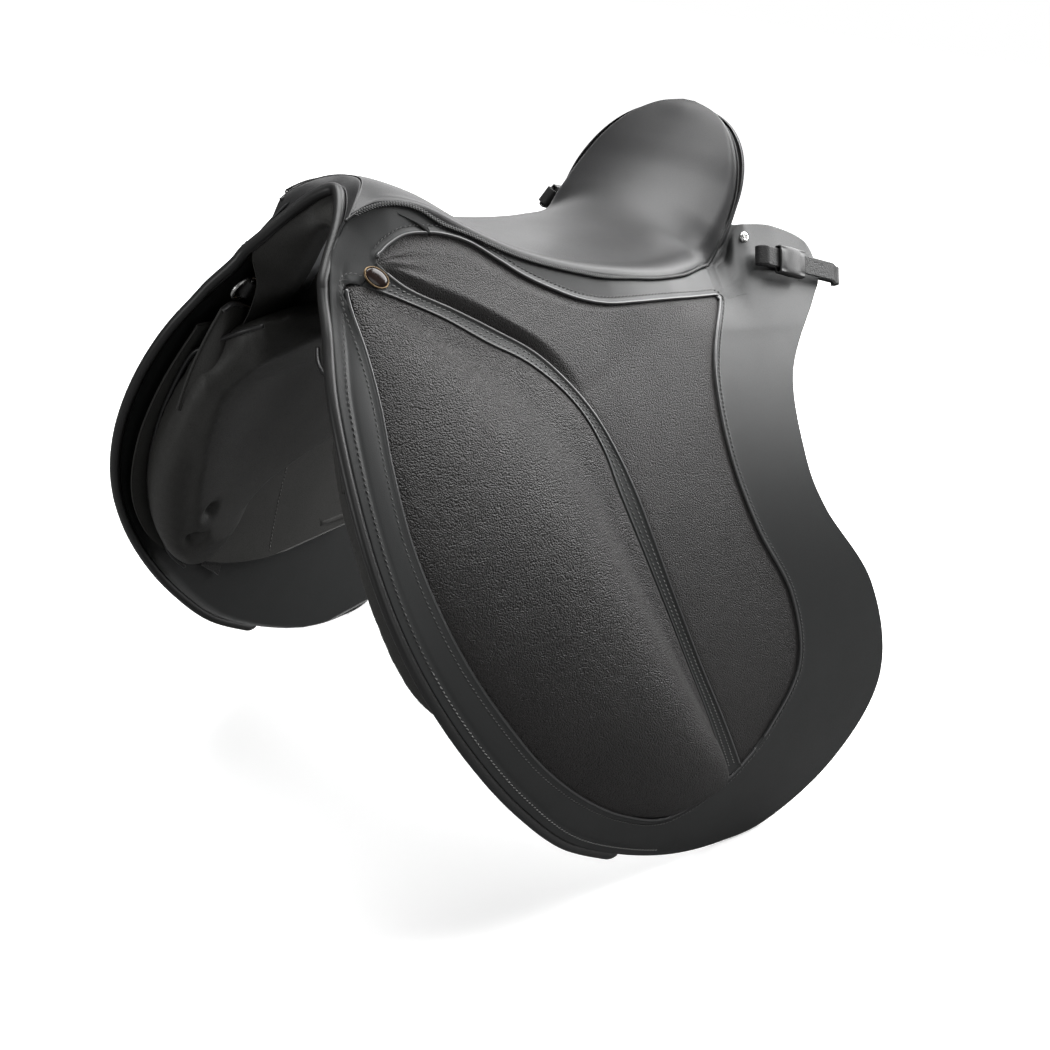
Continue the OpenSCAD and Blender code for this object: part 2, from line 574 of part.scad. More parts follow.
function oval(a, b) = [for (k = [0 : 9 : 351]) [a / 2 * cos(k), b / 2 * sin(k)]];
module stud() {
  color("#b08d4a") on_sheet(-209, -60, strip_h + gap) rotate([16, 0, 0]) rotate([0, 90, 0]) {
    linear_extrude(stud_h * 0.6) polygon(oval(stud_short, stud_long));
    linear_extrude(stud_h) polygon(oval(stud_short - 3, stud_long - 3));
  }
}

ring_y = -32;
module ring_tab() {
  eye = ring_r + pin_clear;
  color("#1d1d1d") on_sheet(-198, -32, point_top + gap) difference() {
    union() {
      translate([0, ring_y, -ring_in / 2 + 1]) cube([tab_t, 42, ring_in - 2]);
      translate([eye + tab_t, ring_y, -ring_in / 2 + 1]) cylinder(r = eye + tab_t, h = ring_in - 2);
      translate([2 * eye + tab_t, ring_y, -ring_in / 2 + 1]) cube([tab_t, 30, ring_in - 2]);
    }
    translate([eye + tab_t, ring_y, -ring_in]) cylinder(r = eye, h = 2 * ring_in);
    translate([tab_t, ring_y, -ring_in]) cube([2 * eye, 60, 2 * ring_in]);
  }
}

module d_ring() {
  eye = ring_r + pin_clear;
  bend = ring_in / 2 + ring_r;
  color("#b9bdc0") on_sheet(-198, -32, point_top + gap) translate([eye + tab_t, ring_y, 0]) {
    bow = [for (a = [-90 : 15 : 90]) [0, -ring_leg - bend * cos(a), bend * sin(a)]];
    translate([0, 0, -bend]) cylinder(r = ring_r, h = 2 * bend, $fn = 20);
    tube(concat([[0, 0.6, -bend]], bow, [[0, 0.6, bend]]), ring_r, [1, 0, 0], 12);
  }
}

strap_y = 182;
strap_t = -78;
strap_d = keeper_t + 2 * gap + 0.4;
strap_turn = -5;
strap_h = 2 * loop_t + loop_gap;
module strap_frame() {
  on_sheet(strap_y, strap_t, strap_d) rotate([strap_turn, 0, 0]) children();
}

module rear_strap() {
  run = loop_len - strap_h / 2;
  color("#1d1d1d") strap_frame() {
    translate([gap - strap_d, 0, -loop_w / 2]) cube([strap_h + strap_d - gap, 7, loop_w]);
    translate([0, 0, -loop_w / 2]) cube([loop_t, run, loop_w]);
    translate([loop_t + loop_gap, 0, -loop_w / 2]) cube([loop_t, run, loop_w]);
    translate([strap_h / 2, run, -loop_w / 2]) intersection() {
      difference() {
        cylinder(r = strap_h / 2, h = loop_w);
        translate([0, 0, -1]) cylinder(r = loop_gap / 2, h = loop_w + 2);
      }
      translate([-strap_h, 0, 0]) cube([2 * strap_h, strap_h, loop_w]);
    }
  }
}

module strap_keeper() {
  color("#1d1d1d") strap_frame() translate([strap_h / 2, 20, 0]) difference() {
    translate([-strap_h / 2 - gap - keeper_t, 0, -loop_w / 2 - gap - keeper_t])
      cube([strap_h + 2 * gap + 2 * keeper_t, keeper_len, loop_w + 2 * gap + 2 * keeper_t]);
    translate([-strap_h / 2 - gap, -1, -loop_w / 2 - gap]) cube([strap_h + 2 * gap, keeper_len + 2, loop_w + 2 * gap]);
  }
}

module rear_screw() {
  on_sheet(192, -103, gap) rotate([0, 90, 0]) difference() {
    cylinder(r1 = screw_r, r2 = screw_r * 0.8, h = screw_h);
    for (a = [20, 110]) rotate([0, 0, a]) translate([-screw_r * 0.55, -0.6, screw_h - 0.9]) cube([screw_r * 1.1, 1.2, 2]);
  }
}

module rear_screws() {
  color("#c8ccce") {
    rear_screw();
    off_side() rear_screw();
  }
}

seat_cover();
seat_foam();
seat_webs();
pommel_cap();
arch_binding();
cantle_back();
tree_frame();
head_plate();
gullet_plate();
tree_point();  // tree_point_l
off_side() tree_point();  // tree_point_r
spring_steel([9, 10]);  // spring_steel_l
spring_steel([2, 3]);  // spring_steel_r
tree_rivets();
stirrup_bar();  // stirrup_bar_l
off_side() stirrup_bar();  // stirrup_bar_r
bar_catch();  // bar_catch_l
off_side() bar_catch();  // bar_catch_r
catch_pins();
girth_web();  // girth_web_l
off_side() girth_web();  // girth_web_r
billet(front_top, front_tip);  // billet_front_l
off_side() billet(front_top, front_tip);  // billet_front_r
billet(rear_top, rear_tip);  // billet_rear_l
off_side() billet(rear_top, rear_tip);  // billet_rear_r
panel();  // panel_l
off_side() panel();  // panel_r
gullet_lining();
sweat_flap();  // sweat_flap_l
off_side() sweat_flap();  // sweat_flap_r
skirt();  // skirt_l
off_side() skirt();  // skirt_r
welt();  // welt_l
off_side() welt();  // welt_r
bar_tab();  // bar_tab_l
off_side() bar_tab();  // bar_tab_r
flap();  // flap_l
off_side() flap();  // flap_r
facing();  // facing_l
off_side() facing();  // facing_r
knee_block();  // knee_block_l
off_side() knee_block();  // knee_block_r
calf_inlay();  // calf_inlay_l
off_side() calf_inlay();  // calf_inlay_r
block_strip();  // block_strip_l
off_side() block_strip();  // block_strip_r
flap_roll();  // flap_roll_l
off_side() flap_roll();  // flap_roll_r
stud();  // stud_l
off_side() stud();  // stud_r
ring_tab();  // ring_tab_l
off_side() ring_tab();  // ring_tab_r
d_ring();  // d_ring_l
off_side() d_ring();  // d_ring_r
rear_strap();  // rear_strap_l
off_side() rear_strap();  // rear_strap_r
strap_keeper();  // strap_keeper_l
off_side() strap_keeper();  // strap_keeper_r
rear_screws();
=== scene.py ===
# %% [markdown]
# # A black dressage saddle
# The solids of the part are already packed as a fixed frame of nodes, joined into bodies that move.
# This lesson dresses that frame: each leather piece is worked out with numpy as a surface over two
# parameters, put into a mesh, and given a procedural leather, thread or metal. Nothing is imported.

import bpy
import numpy as np
from mathutils import Matrix, Vector


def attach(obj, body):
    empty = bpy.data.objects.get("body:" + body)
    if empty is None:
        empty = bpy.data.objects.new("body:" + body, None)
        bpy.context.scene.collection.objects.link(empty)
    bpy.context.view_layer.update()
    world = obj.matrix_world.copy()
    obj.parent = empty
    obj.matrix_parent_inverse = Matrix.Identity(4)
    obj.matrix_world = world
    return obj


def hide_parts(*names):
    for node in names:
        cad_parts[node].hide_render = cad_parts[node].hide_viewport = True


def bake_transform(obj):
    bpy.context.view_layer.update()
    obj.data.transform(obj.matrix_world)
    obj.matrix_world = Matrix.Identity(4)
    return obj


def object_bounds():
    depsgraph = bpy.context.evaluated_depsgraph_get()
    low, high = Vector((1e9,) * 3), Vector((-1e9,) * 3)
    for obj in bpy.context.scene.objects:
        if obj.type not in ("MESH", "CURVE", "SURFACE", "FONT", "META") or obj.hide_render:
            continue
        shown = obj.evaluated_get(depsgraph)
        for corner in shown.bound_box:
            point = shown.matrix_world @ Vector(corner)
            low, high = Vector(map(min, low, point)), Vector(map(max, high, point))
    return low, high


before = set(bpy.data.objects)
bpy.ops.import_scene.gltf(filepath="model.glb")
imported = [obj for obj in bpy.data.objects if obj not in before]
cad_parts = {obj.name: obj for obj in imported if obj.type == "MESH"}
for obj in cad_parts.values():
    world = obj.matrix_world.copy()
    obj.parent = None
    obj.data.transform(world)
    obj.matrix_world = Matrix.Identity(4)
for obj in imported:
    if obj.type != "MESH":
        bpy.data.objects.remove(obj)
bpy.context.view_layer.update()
MM = 0.001

# %% [markdown]
# ## Camera
# The photograph looks at the near front of the saddle from a little above. Its direction, distance
# and lens were solved from landmarks on the seat and flaps, so the render lines up with it.

# %% Camera
CAM_AZ, CAM_EL, CAM_ROLL = np.radians([36.5, 23.7, 8.7])
CAM_TARGET = np.array([98.8, -49.6, -227.5])
CAM_DIST, SENSOR, FOCAL_PIXELS, PHOTO_PIXELS = 1033.7, 36, 1235.3, 1050


def camera_axes(az, el, roll):
    """Right, up and back of the camera: spherical angles, then a turn about the line of sight."""
    back = np.array([np.sin(az) * np.cos(el), -np.cos(az) * np.cos(el), np.sin(el)])
    right = np.array([np.cos(az), np.sin(az), 0.0])
    up = np.cross(back, right)
    return np.cos(roll) * right + np.sin(roll) * up, np.cos(roll) * up - np.sin(roll) * right, back


right, up, back = camera_axes(CAM_AZ, CAM_EL, CAM_ROLL)
camera = bpy.data.objects.new("camera", bpy.data.cameras.new("camera"))
bpy.context.scene.collection.objects.link(camera)
place = np.eye(4)
place[:3, :3] = np.stack([right, up, back], 1)
place[:3, 3] = (CAM_TARGET + back * CAM_DIST) * MM
camera.matrix_world = Matrix(place.tolist())
camera.data.sensor_width, camera.data.lens = SENSOR, FOCAL_PIXELS / PHOTO_PIXELS * SENSOR
camera.data.clip_start, camera.data.clip_end = 0.01, 300
bpy.context.scene.camera = camera
print("camera at", np.round(place[:3, 3], 3))

# %% [markdown]
# ## Curves, sheets and meshes
# A saddler cuts each piece flat and pulls it over the tree. Here every side piece lies on one bent
# sheet: y runs to the rear, t down the flap and d out from the leather. The helpers below turn a
# grid of such points into a closed skin with a rounded edge.

# %% Helpers for shapes
BASE_X, BASE_Z, SWEEP_X, SWEEP_Z = 131, -72, 0.2, -0.03
LEAN, CURL, CURL_UP = np.radians([52, 0.097, -0.14])


def sheet(y, t, d=0.0):
    """Point of the side sheet in metres: an arc below t = 0 and a reversed arc above it, swept along y."""
    y, t, d = np.broadcast_arrays(*(np.asarray(a, float) for a in (y, t, d)))
    k = np.where(t > 0, CURL, CURL_UP)
    p = LEAN + k * t
    x = BASE_X + SWEEP_X * y + (np.sin(p) - np.sin(LEAN)) / k + d * np.sin(p)
    z = BASE_Z + SWEEP_Z * y + (np.cos(p) - np.cos(LEAN)) / k + d * np.cos(p)
    return np.stack([x, y, z], -1) * MM


def along(points, s):
    """Catmull-Rom curve through the points, at places s counted in points from the first."""
    c, s = np.asarray(points, float), np.asarray(s, float)
    i = np.clip(s.astype(int), 0, len(c) - 2)
    f = (s - i)[..., None]
    p, q, r, w = c[np.maximum(i - 1, 0)], c[i], c[i + 1], c[np.minimum(i + 2, len(c) - 1)]
    return q + f / 2 * (r - p + f * (2 * p - 5 * q + 4 * r - w + f * (3 * (q - r) + w - p)))


def lengths(path):
    """Distance along a line of points, from its start."""
    return np.r_[0, np.cumsum(np.linalg.norm(np.diff(path, axis=0), axis=1))]


def even(path, n):
    """n points at equal distances along a line of points."""
    at = lengths(path)
    want = np.linspace(0, at[-1], n)
    return np.stack([np.interp(want, at, path[:, k]) for k in range(path.shape[1])], 1)


def bump(x, centre, width):
    """A smooth hill of height 1 at the centre."""
    return np.exp(-(((x - centre) / width) ** 2))


def ease(x):
    """Smooth step from 0 to 1."""
    x = np.clip(x, 0, 1)
    return x * x * (3 - 2 * x)


def round_off(x, r):
    """How far a rounded edge of radius r drops at a distance x from the edge."""
    x = np.clip(x, 0, r)
    return r - np.sqrt(np.maximum(r * r - (r - x) ** 2, 0))


def quads(n, m, ring_n=False, ring_m=False):
    """Faces of an n by m grid of points, closed along either side if asked."""
    i = np.arange(n if ring_n else n - 1)[:, None]
    j = np.arange(m if ring_m else m - 1)[None, :]
    i2, j2 = (i + 1) % n, (j + 1) % m
    corners = np.broadcast_arrays(i * m + j, i2 * m + j, i2 * m + j2, i * m + j2)
    return np.stack(corners, -1).reshape(-1, 4)


def capped(n, m):
    """Faces of a bar of n rings of m points, with its two ends closed."""
    return quads(n, m, False, True).tolist() + [list(range(m)), list(range((n - 1) * m, n * m))[::-1]]


print("sheet at the flap's foot", np.round(sheet(0, 480), 3))

# %% [markdown]
# ## Skins and bars
# Most pieces are one of two kinds. A leather is a skin: an upper and a lower grid with a rim between
# them. A cord, roll or ring is a bar: a circle carried along a path, square to it.

# %% Skins and bars
def skin(top, bottom):
    """Closed skin of two grids of points and the rim between them."""
    n, m = top.shape[:2]
    h = n * m
    q = quads(n, m)
    right_side, left_side = np.arange(1, n) * m + m - 1, np.arange(n - 2, 0, -1) * m
    edge = np.r_[np.arange(m), right_side, (n - 1) * m + np.arange(m - 2, -1, -1), left_side]
    ahead = np.roll(edge, -1)
    rim = np.stack([edge, edge + h, ahead + h, ahead], 1)
    verts = np.concatenate([top.reshape(-1, 3), bottom.reshape(-1, 3)])
    return verts, np.concatenate([q, q[:, ::-1] + h, rim])


def tube(path, radius, sides=12, upward=(1, 0, 0.6), closed=False):
    """Round bar along a path: at each point a circle of the radius there, square to the path."""
    n = len(path)
    if closed:
        tangent = np.roll(path, -1, 0) - np.roll(path, 1, 0)
    else:
        tangent = np.gradient(path, axis=0)
    tangent /= np.linalg.norm(tangent, axis=1, keepdims=True)
    side = np.cross(tangent, np.asarray(upward, float))
    side /= np.linalg.norm(side, axis=1, keepdims=True)
    over = np.cross(side, tangent)
    a = np.linspace(0, 2 * np.pi, sides, endpoint=False)
    r = np.broadcast_to(np.asarray(radius, float).reshape(-1, 1), (n, sides))
    spokes = np.cos(a)[None, :, None] * side[:, None] + np.sin(a)[None, :, None] * over[:, None]
    rings = path[:, None] + r[..., None] * spokes
    return rings.reshape(-1, 3), quads(n, sides, True, True).tolist() if closed else capped(n, sides)


def six_volumes(verts, faces):
    """Six times the volume inside the faces, from each face's fan of triangles."""
    total = 0.0
    for k in {len(f) for f in faces}:
        f = np.array([g for g in faces if len(g) == k])
        for j in range(1, k - 1):
            fans = np.cross(verts[f[:, j]], verts[f[:, j + 1]])
            total += np.einsum("ij,ij->i", verts[f[:, 0]], fans).sum()
    return total


# %% [markdown]
# ## Pieces on their bodies
# A mesh becomes a piece when it has a finish, rides on a body and names the solids that it stands
# for. The flap hinges at the skirt; the hinge line and two places square to it are worked out, but the
# leathers that would bend there are left where they are, on no body. The off side is the near side's
# mirror image.

# %% Pieces and the bend of the flap
SIDES = {"l": 1, "r": -1}
HINGE_LINE = np.array([SWEEP_X, 1, SWEEP_Z])
HINGE_LINE = HINGE_LINE / np.linalg.norm(HINGE_LINE)
BEND_FROM, BEND_TO = sheet(0, -108), sheet(0, -66)
BEND_TO = BEND_TO - ((BEND_TO - BEND_FROM) @ HINGE_LINE) * HINGE_LINE


def piece(name, shape, finish, body, stands_for=(), mirror=1, bends=False):
    """Mesh object of a closed shape, mirrored in x for the off side, faces outwards. It rides on a body,
    or, if it bends, is left fixed where it is, on no body."""
    verts, faces = np.array(shape[0], float), [list(f) for f in np.asarray(shape[1], dtype=object)]
    verts[:, 0] *= mirror
    if six_volumes(verts, faces) < 0:
        faces = [f[::-1] for f in faces]
    mesh = bpy.data.meshes.new(name)
    mesh.from_pydata(verts.tolist(), [], faces)
    mesh.polygons.foreach_set("use_smooth", np.ones(len(faces), bool))
    mesh.update()
    obj = bpy.data.objects.new(name, mesh)
    bpy.context.scene.collection.objects.link(obj)
    mesh.materials.append(finish)
    if bends:
        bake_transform(obj)
    else:
        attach(obj, body)
    if stands_for:
        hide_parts(*stands_for)
    return obj


def side_piece(name, shape, finish, body, side, stands_for=(), bends=False):
    """Piece of the near side l or, mirrored, of the off side r, on that side's body unless it bends."""
    body = body if body == "saddle" else f"{body}_{side}"
    return piece(f"{name}_{side}", shape, finish, body, [f"{n}_{side}" for n in stands_for],
                 SIDES[side], bends)


def joined(shapes):
    """Several shapes as one."""
    verts, faces, base = [], [], 0
    for v, f in shapes:
        verts.append(np.asarray(v, float))
        faces += [[i + base for i in g] for g in np.asarray(f, dtype=object)]
        base += len(v)
    return np.concatenate(verts), faces


print("hinge of the flaps along", np.round(HINGE_LINE, 3))

# %% [markdown]
# ## Leather, thread and metal
# Saddle leather is nearly black, and what tells one piece from another is its grain and gloss. One
# node group makes the grain: rounded cells from a Voronoi texture whose coordinates a noise has
# bent, so that the pebbles are uneven. Each leather sets its own cell size, depth and gloss.

# %% Helpers for nodes
def node_group(name, inputs, outputs):
    """Empty shader group with float inputs and outputs; returns it with its two end nodes."""
    group = bpy.data.node_groups.new(name, "ShaderNodeTree")
    for label, value in inputs:
        group.interface.new_socket(label, in_out="INPUT", socket_type="NodeSocketFloat").default_value = value
    for label in outputs:
        group.interface.new_socket(label, in_out="OUTPUT", socket_type="NodeSocketFloat")
    return group, group.nodes.new("NodeGroupInput"), group.nodes.new("NodeGroupOutput")


def feed(tree, socket, value):
    """Link a socket into an input, or write a number or colour there."""
    if hasattr(value, "is_linked"):
        tree.links.new(value, socket)
    else:
        socket.default_value = value


def plug(tree, node, **inputs):
    """Feed a node's inputs by their names, with _ for a space."""
    for label, value in inputs.items():
        feed(tree, node.inputs[label.replace("_", " ")], value)
    return node


def add_node(tree, kind, **inputs):
    """New shader node of a kind, with its inputs fed."""
    return plug(tree, tree.nodes.new("ShaderNode" + kind), **inputs)


def math_node(tree, kind, a, b):
    """Result of a Math node whose inputs are sockets or numbers."""
    node = tree.nodes.new("ShaderNodeMath")
    node.operation = kind
    feed(tree, node.inputs[0], a)
    feed(tree, node.inputs[1], b)
    return node.outputs[0]


def weighted(tree, a, share_a, b, share_b):
    """Sum of two values, each times its share."""
    first = math_node(tree, "MULTIPLY", a, share_a)
    return math_node(tree, "ADD", first, math_node(tree, "MULTIPLY", b, share_b))


def two_tones(tree, a, b, factor):
    """Colour from a to b by a factor."""
    tone = tree.nodes.new("ShaderNodeMix")
    tone.data_type = "RGBA"
    return plug(tree, tone, A=(*a, 1), B=(*b, 1), Factor=factor).outputs["Result"]


def relief(tree, height, depth):
    """Normals of a surface raised by a height, over a depth in metres."""
    return add_node(tree, "Bump", Strength=1.0, Distance=depth, Height=height).outputs["Normal"]


def object_place(tree):
    """Coordinates that stay with the piece."""
    return tree.nodes.new("ShaderNodeTexCoord").outputs["Object"]


# %% [markdown]
# ### Grain
# The grain is a group, because all leathers share it. Its heights, creases and blotches come out as
# plain values, and each leather decides what they do to its tone, gloss and relief.

# %% Grain and finishes
def grain_group():
    """Leather grain: cells of the given size, fine pores, and slow blotches of tone."""
    group, start, end = node_group("leather_grain", [("Cells", 600.0)], ["Height", "Crease", "Blotch"])
    where = object_place(group)
    bend = add_node(group, "TexNoise", Scale=90, Detail=2, Vector=where)
    shift = group.nodes.new("ShaderNodeVectorMath")
    shift.operation = "MULTIPLY_ADD"
    for k, value in enumerate((bend.outputs["Color"], (0.004, 0.004, 0.004), where)):
        feed(group, shift.inputs[k], value)
    cells = group.nodes.new("ShaderNodeTexVoronoi")
    cells.feature = "SMOOTH_F1"
    plug(group, cells, Smoothness=0.35, Vector=shift.outputs[0], Scale=start.outputs["Cells"])
    finer = math_node(group, "MULTIPLY", start.outputs["Cells"], 2.2)
    pores = add_node(group, "TexNoise", Detail=3, Vector=shift.outputs[0], Scale=finer)
    blotch = add_node(group, "TexNoise", Scale=14, Detail=4, Vector=where)
    pebble = math_node(group, "SUBTRACT", 1.0, math_node(group, "POWER", cells.outputs["Distance"], 1.6))
    height = math_node(group, "ADD", pebble, math_node(group, "MULTIPLY", pores.outputs["Fac"], 0.3))
    crease = math_node(group, "MULTIPLY", cells.outputs["Distance"], 1.2)
    plug(group, end, Height=height, Crease=crease, Blotch=blotch.outputs["Fac"])
    return group


GRAIN = grain_group()


def new_material(name):
    """Material with nodes, and its shader."""
    mat = bpy.data.materials.new(name)
    mat.use_nodes = True
    return mat, mat.node_tree, mat.node_tree.nodes["Principled BSDF"]


def leather(name, dark, light, rough, cells, depth, coat=0.0, spread=0.12, specular=0.5):
    """Leather: tone from blotches and creases, gloss from the pebbles' tops, relief from the grain."""
    mat, tree, shader = new_material(name)
    grain = tree.nodes.new("ShaderNodeGroup")
    grain.node_tree = GRAIN
    grain.inputs["Cells"].default_value = cells
    crease, blotch = grain.outputs["Crease"], grain.outputs["Blotch"]
    worn = weighted(tree, blotch, 0.7, crease, 0.45)
    gloss = weighted(tree, crease, spread, blotch, spread)
    plug(tree, shader, Base_Color=two_tones(tree, light, dark, worn),
         Roughness=math_node(tree, "ADD", gloss, rough - spread / 2),
         Normal=relief(tree, grain.outputs["Height"], depth),
         Specular_IOR_Level=specular, Coat_Weight=coat, Coat_Roughness=0.25)
    return mat


def metal(name, color, rough, metallic=1.0):
    """Polished or brushed metal with faint scratches in its gloss."""
    mat, tree, shader = new_material(name)
    haze = add_node(tree, "TexNoise", Scale=400, Detail=4, Vector=object_place(tree))
    gloss = math_node(tree, "ADD", math_node(tree, "MULTIPLY", haze.outputs["Fac"], 0.14), rough - 0.07)
    plug(tree, shader, Roughness=gloss, Base_Color=(*color, 1), Metallic=metallic)
    return mat


def woven(name, dark, light, threads):
    """Webbing, thread or foam: a fine wave of threads in tone and relief."""
    mat, tree, shader = new_material(name)
    wave = add_node(tree, "TexWave", Scale=threads, Distortion=2, Vector=object_place(tree)).outputs["Fac"]
    plug(tree, shader, Base_Color=two_tones(tree, dark, light, wave), Normal=relief(tree, wave, 0.0002),
         Roughness=0.85)
    return mat


def plywood(name):
    """Varnished beech ply of the tree: long fibres along the saddle."""
    mat, tree, shader = new_material(name)
    squeeze = add_node(tree, "Mapping", Scale=(160, 9, 160), Vector=object_place(tree))
    fibre = add_node(tree, "TexNoise", Scale=1, Detail=5, Vector=squeeze.outputs["Vector"])
    tone = two_tones(tree, (0.5, 0.31, 0.15), (0.27, 0.15, 0.065), fibre.outputs["Fac"])
    plug(tree, shader, Base_Color=tone, Roughness=0.38)
    return mat


# %% [markdown]
# ### The saddle's own finishes
# The seat and flaps are smooth, the block has coarse pebbles and the inlay finer ones. The lips are
# burnished, so they are glossier; their paler colour is a painted highlight. Inside are ply, steel,
# foam and webbing.

# %% Leathers, threads and metals
SEAT_LEATHER = leather("seat_leather", (0.010, 0.010, 0.011), (0.022, 0.022, 0.022), 0.4, 1500, 0.00006, 0.12)
FLAP_LEATHER = leather("flap_leather", (0.011, 0.012, 0.012), (0.021, 0.022, 0.022), 0.42, 1700, 0.00004,
                       0.05)
BLOCK_LEATHER = leather("block_leather", (0.009, 0.008, 0.008), (0.026, 0.023, 0.022), 0.33, 850, 0.0012,
                        0.0, 0.2)
GRIP_LEATHER = leather("grip_leather", (0.013, 0.012, 0.012), (0.032, 0.029, 0.028), 0.44, 1000, 0.0007,
                       0.0, 0.16)
# Panels, lining and sweat flaps: their own grey tone, made paler partly as painted light for the dim inside
# of the saddle.
PANEL_TONE_AND_PAINTED_LIGHT = leather("panel_leather", (0.025, 0.025, 0.023), (0.054, 0.053, 0.05), 0.5, 1100, 0.00008)
STRAP_LEATHER = leather("strap_leather", (0.008, 0.008, 0.008), (0.018, 0.018, 0.018), 0.42, 800, 0.00025)
TRIM_LEATHER = leather("trim_leather", (0.008, 0.008, 0.008), (0.016, 0.016, 0.016), 0.34, 1600, 0.00005, 0.1)
# Lips: the gloss and coat are the burnish, the paler colour is a painted highlight.
LIP_PAINTED_HIGHLIGHT = leather("lip_gloss_painted_highlight", (0.03, 0.03, 0.031), (0.055, 0.055, 0.056), 0.26, 1600, 0.00003,
                      0.3, 0.06, 0.8)
# Near-black leather: painted shade for the dark slit under the stirrup bar.
SLIT_PAINTED_SHADE = leather("slit_painted_shade", (0.003, 0.003, 0.003), (0.006, 0.006, 0.006), 0.5, 1500, 0.00004)
PALE_THREAD = woven("pale_thread", (0.24, 0.24, 0.235), (0.5, 0.5, 0.49), 2600)
GREY_THREAD = woven("grey_thread", (0.1, 0.1, 0.1), (0.26, 0.26, 0.255), 2600)
WEBBING = woven("webbing", (0.42, 0.37, 0.28), (0.66, 0.6, 0.48), 420)
FOAM = woven("foam", (0.48, 0.39, 0.23), (0.62, 0.53, 0.34), 260)
NICKEL = metal("nickel", (0.56, 0.56, 0.55), 0.26)
STEEL = metal("steel", (0.42, 0.43, 0.44), 0.36)
BRASS = metal("brass", (0.21, 0.15, 0.09), 0.4)
PLY = plywood("ply")
ENAMEL = metal("brown_enamel", (0.014, 0.007, 0.005), 0.16, 0.0)
print("finishes", len(bpy.data.materials))

# %% [markdown]
# These few control points are the saddler's templates, [y, t] in millimetres on the sheet: the
# flap's outline, the knee block, the calf inlay and the seam under the seat. Smooth curves run
# through them, so that the edges have no corners where the real ones have none. Behind the seat the
# leathers are drawn in towards the cantle, so a second function moves them off the plain sheet.

# %% Templates
SPLIT = [[-236, -62], [-215, -66], [-199, -77], [-172, -91], [-126, -88], [-70, -58], [-10, -39], [60, -41],
         [135, -46], [276, -55]]
OUTLINE = [[-240, -60], [-255, -15], [-268, 30], [-274, 85], [-272, 140], [-261, 192], [-240, 243],
           [-208, 296], [-165, 350], [-108, 404], [-40, 443], [35, 473], [105, 486], [172, 482], [245, 432],
           [290, 345], [262, 240], [200, 158], [184, 100], [198, 30], [262, -38]]
BLOCK_FRONT = [[-231, -55], [-233, -8], [-237, 30], [-243, 75], [-243, 125], [-233, 172], [-214, 220],
               [-186, 267], [-148, 317], [-102, 360], [-50, 395], [10, 418], [60, 414], [78, 402]]
BLOCK_REAR = [[-221, -55], [-192, -44], [-160, -29], [-130, -10], [-103, 5], [-80, 26], [-64, 50], [-54, 80],
              [-49, 112], [-38, 153], [-22, 200], [2, 258], [35, 322], [76, 396]]
INLAY_FRONT = [[-203, -71], [-184, -53], [-150, -37], [-118, -20], [-90, -2], [-68, 24], [-51, 53], [-39, 86],
               [-29, 120], [-19, 160], [-4, 208], [22, 268], [55, 326], [95, 390]]
INLAY_REAR = [[-199, -77], [-172, -91], [-126, -88], [-70, -58], [-10, -39], [60, -41], [135, -46], [95, 25],
              [85, 95], [102, 163], [140, 230], [154, 300], [126, 354], [101, 391]]
SEAM = [[-226, -96], [-210, -106], [-191, -112], [-173, -113], [-158, -109], [-142, -100], [-120, -93],
        [-98, -84], [-74, -76], [-49, -70], [-22, -65], [6, -61], [37, -61], [68, -62], [102, -67],
        [136, -78], [150, -72], [165, -80], [178, -100], [196, -114], [234, -110], [272, -98]]
WELT_END = 15


def split_level(y):
    """Level t of the line where the skirt ends and the flap begins."""
    fine = along(SPLIT, np.linspace(0, len(SPLIT) - 1, 200))
    return np.interp(y, fine[:, 0], fine[:, 1])


def band(a, b, inner=10, edge=(0, 0.3, 0.8, 1.5, 2.4, 3.4, 4.8)):
    """Grid between two lines of points: close rows near both edges, even ones between. Gives the
    points and their distances in mm from the first and from the second line."""
    width = np.linalg.norm(b - a, axis=1)[:, None]
    near = np.minimum(np.asarray(edge)[None, :], width * 0.4 * np.linspace(0, 1, len(edge))[None, :])
    last = near[:, -1:]
    middle = last + (width - 2 * last) * np.linspace(0, 1, inner + 2)[None, 1:-1]
    x = np.concatenate([near, middle, width - near[:, ::-1]], 1)
    f = x / np.maximum(width, 1e-6)
    return a[:, None] + (b - a)[:, None] * f[..., None], x, width - x


DRAWN_IN = np.array([-0.545, 0.736, -0.402])


def tuck(y, t):
    """How far in mm the side leathers are drawn in towards the seat: none at t = -12, all at the seam."""
    y, t = np.asarray(y, float), np.asarray(t, float)
    at_seam = np.interp(y, [10, 37, 80, 112, 138, 170, 200, 276], [0, 3.5, 12, 24, 35, 36, 34, 20])
    seam_t = np.interp(y, *np.array(SEAM).T)
    return at_seam * np.clip((-12 - t) / (-12 - seam_t), 0, 1.1) ** 1.6


def on_side(yt, d):
    """Grid of sheet points lifted by d and drawn in towards the cantle."""
    return sheet(yt[..., 0], yt[..., 1], d) + tuck(yt[..., 0], yt[..., 1])[..., None] * DRAWN_IN * MM


print("flap outline", len(OUTLINE), "points, drawn in by", tuck(170, -80).round(1), "mm at the rear screw")

# %% [markdown]
# ## Stitching
# A saddle is sewn by hand with waxed thread at about eight stitches to the inch. Each stitch is a
# short bead with a slight slant, pressed into the leather. All the stitches of a row are one mesh,
# made by placing the same bead at even steps along the row.

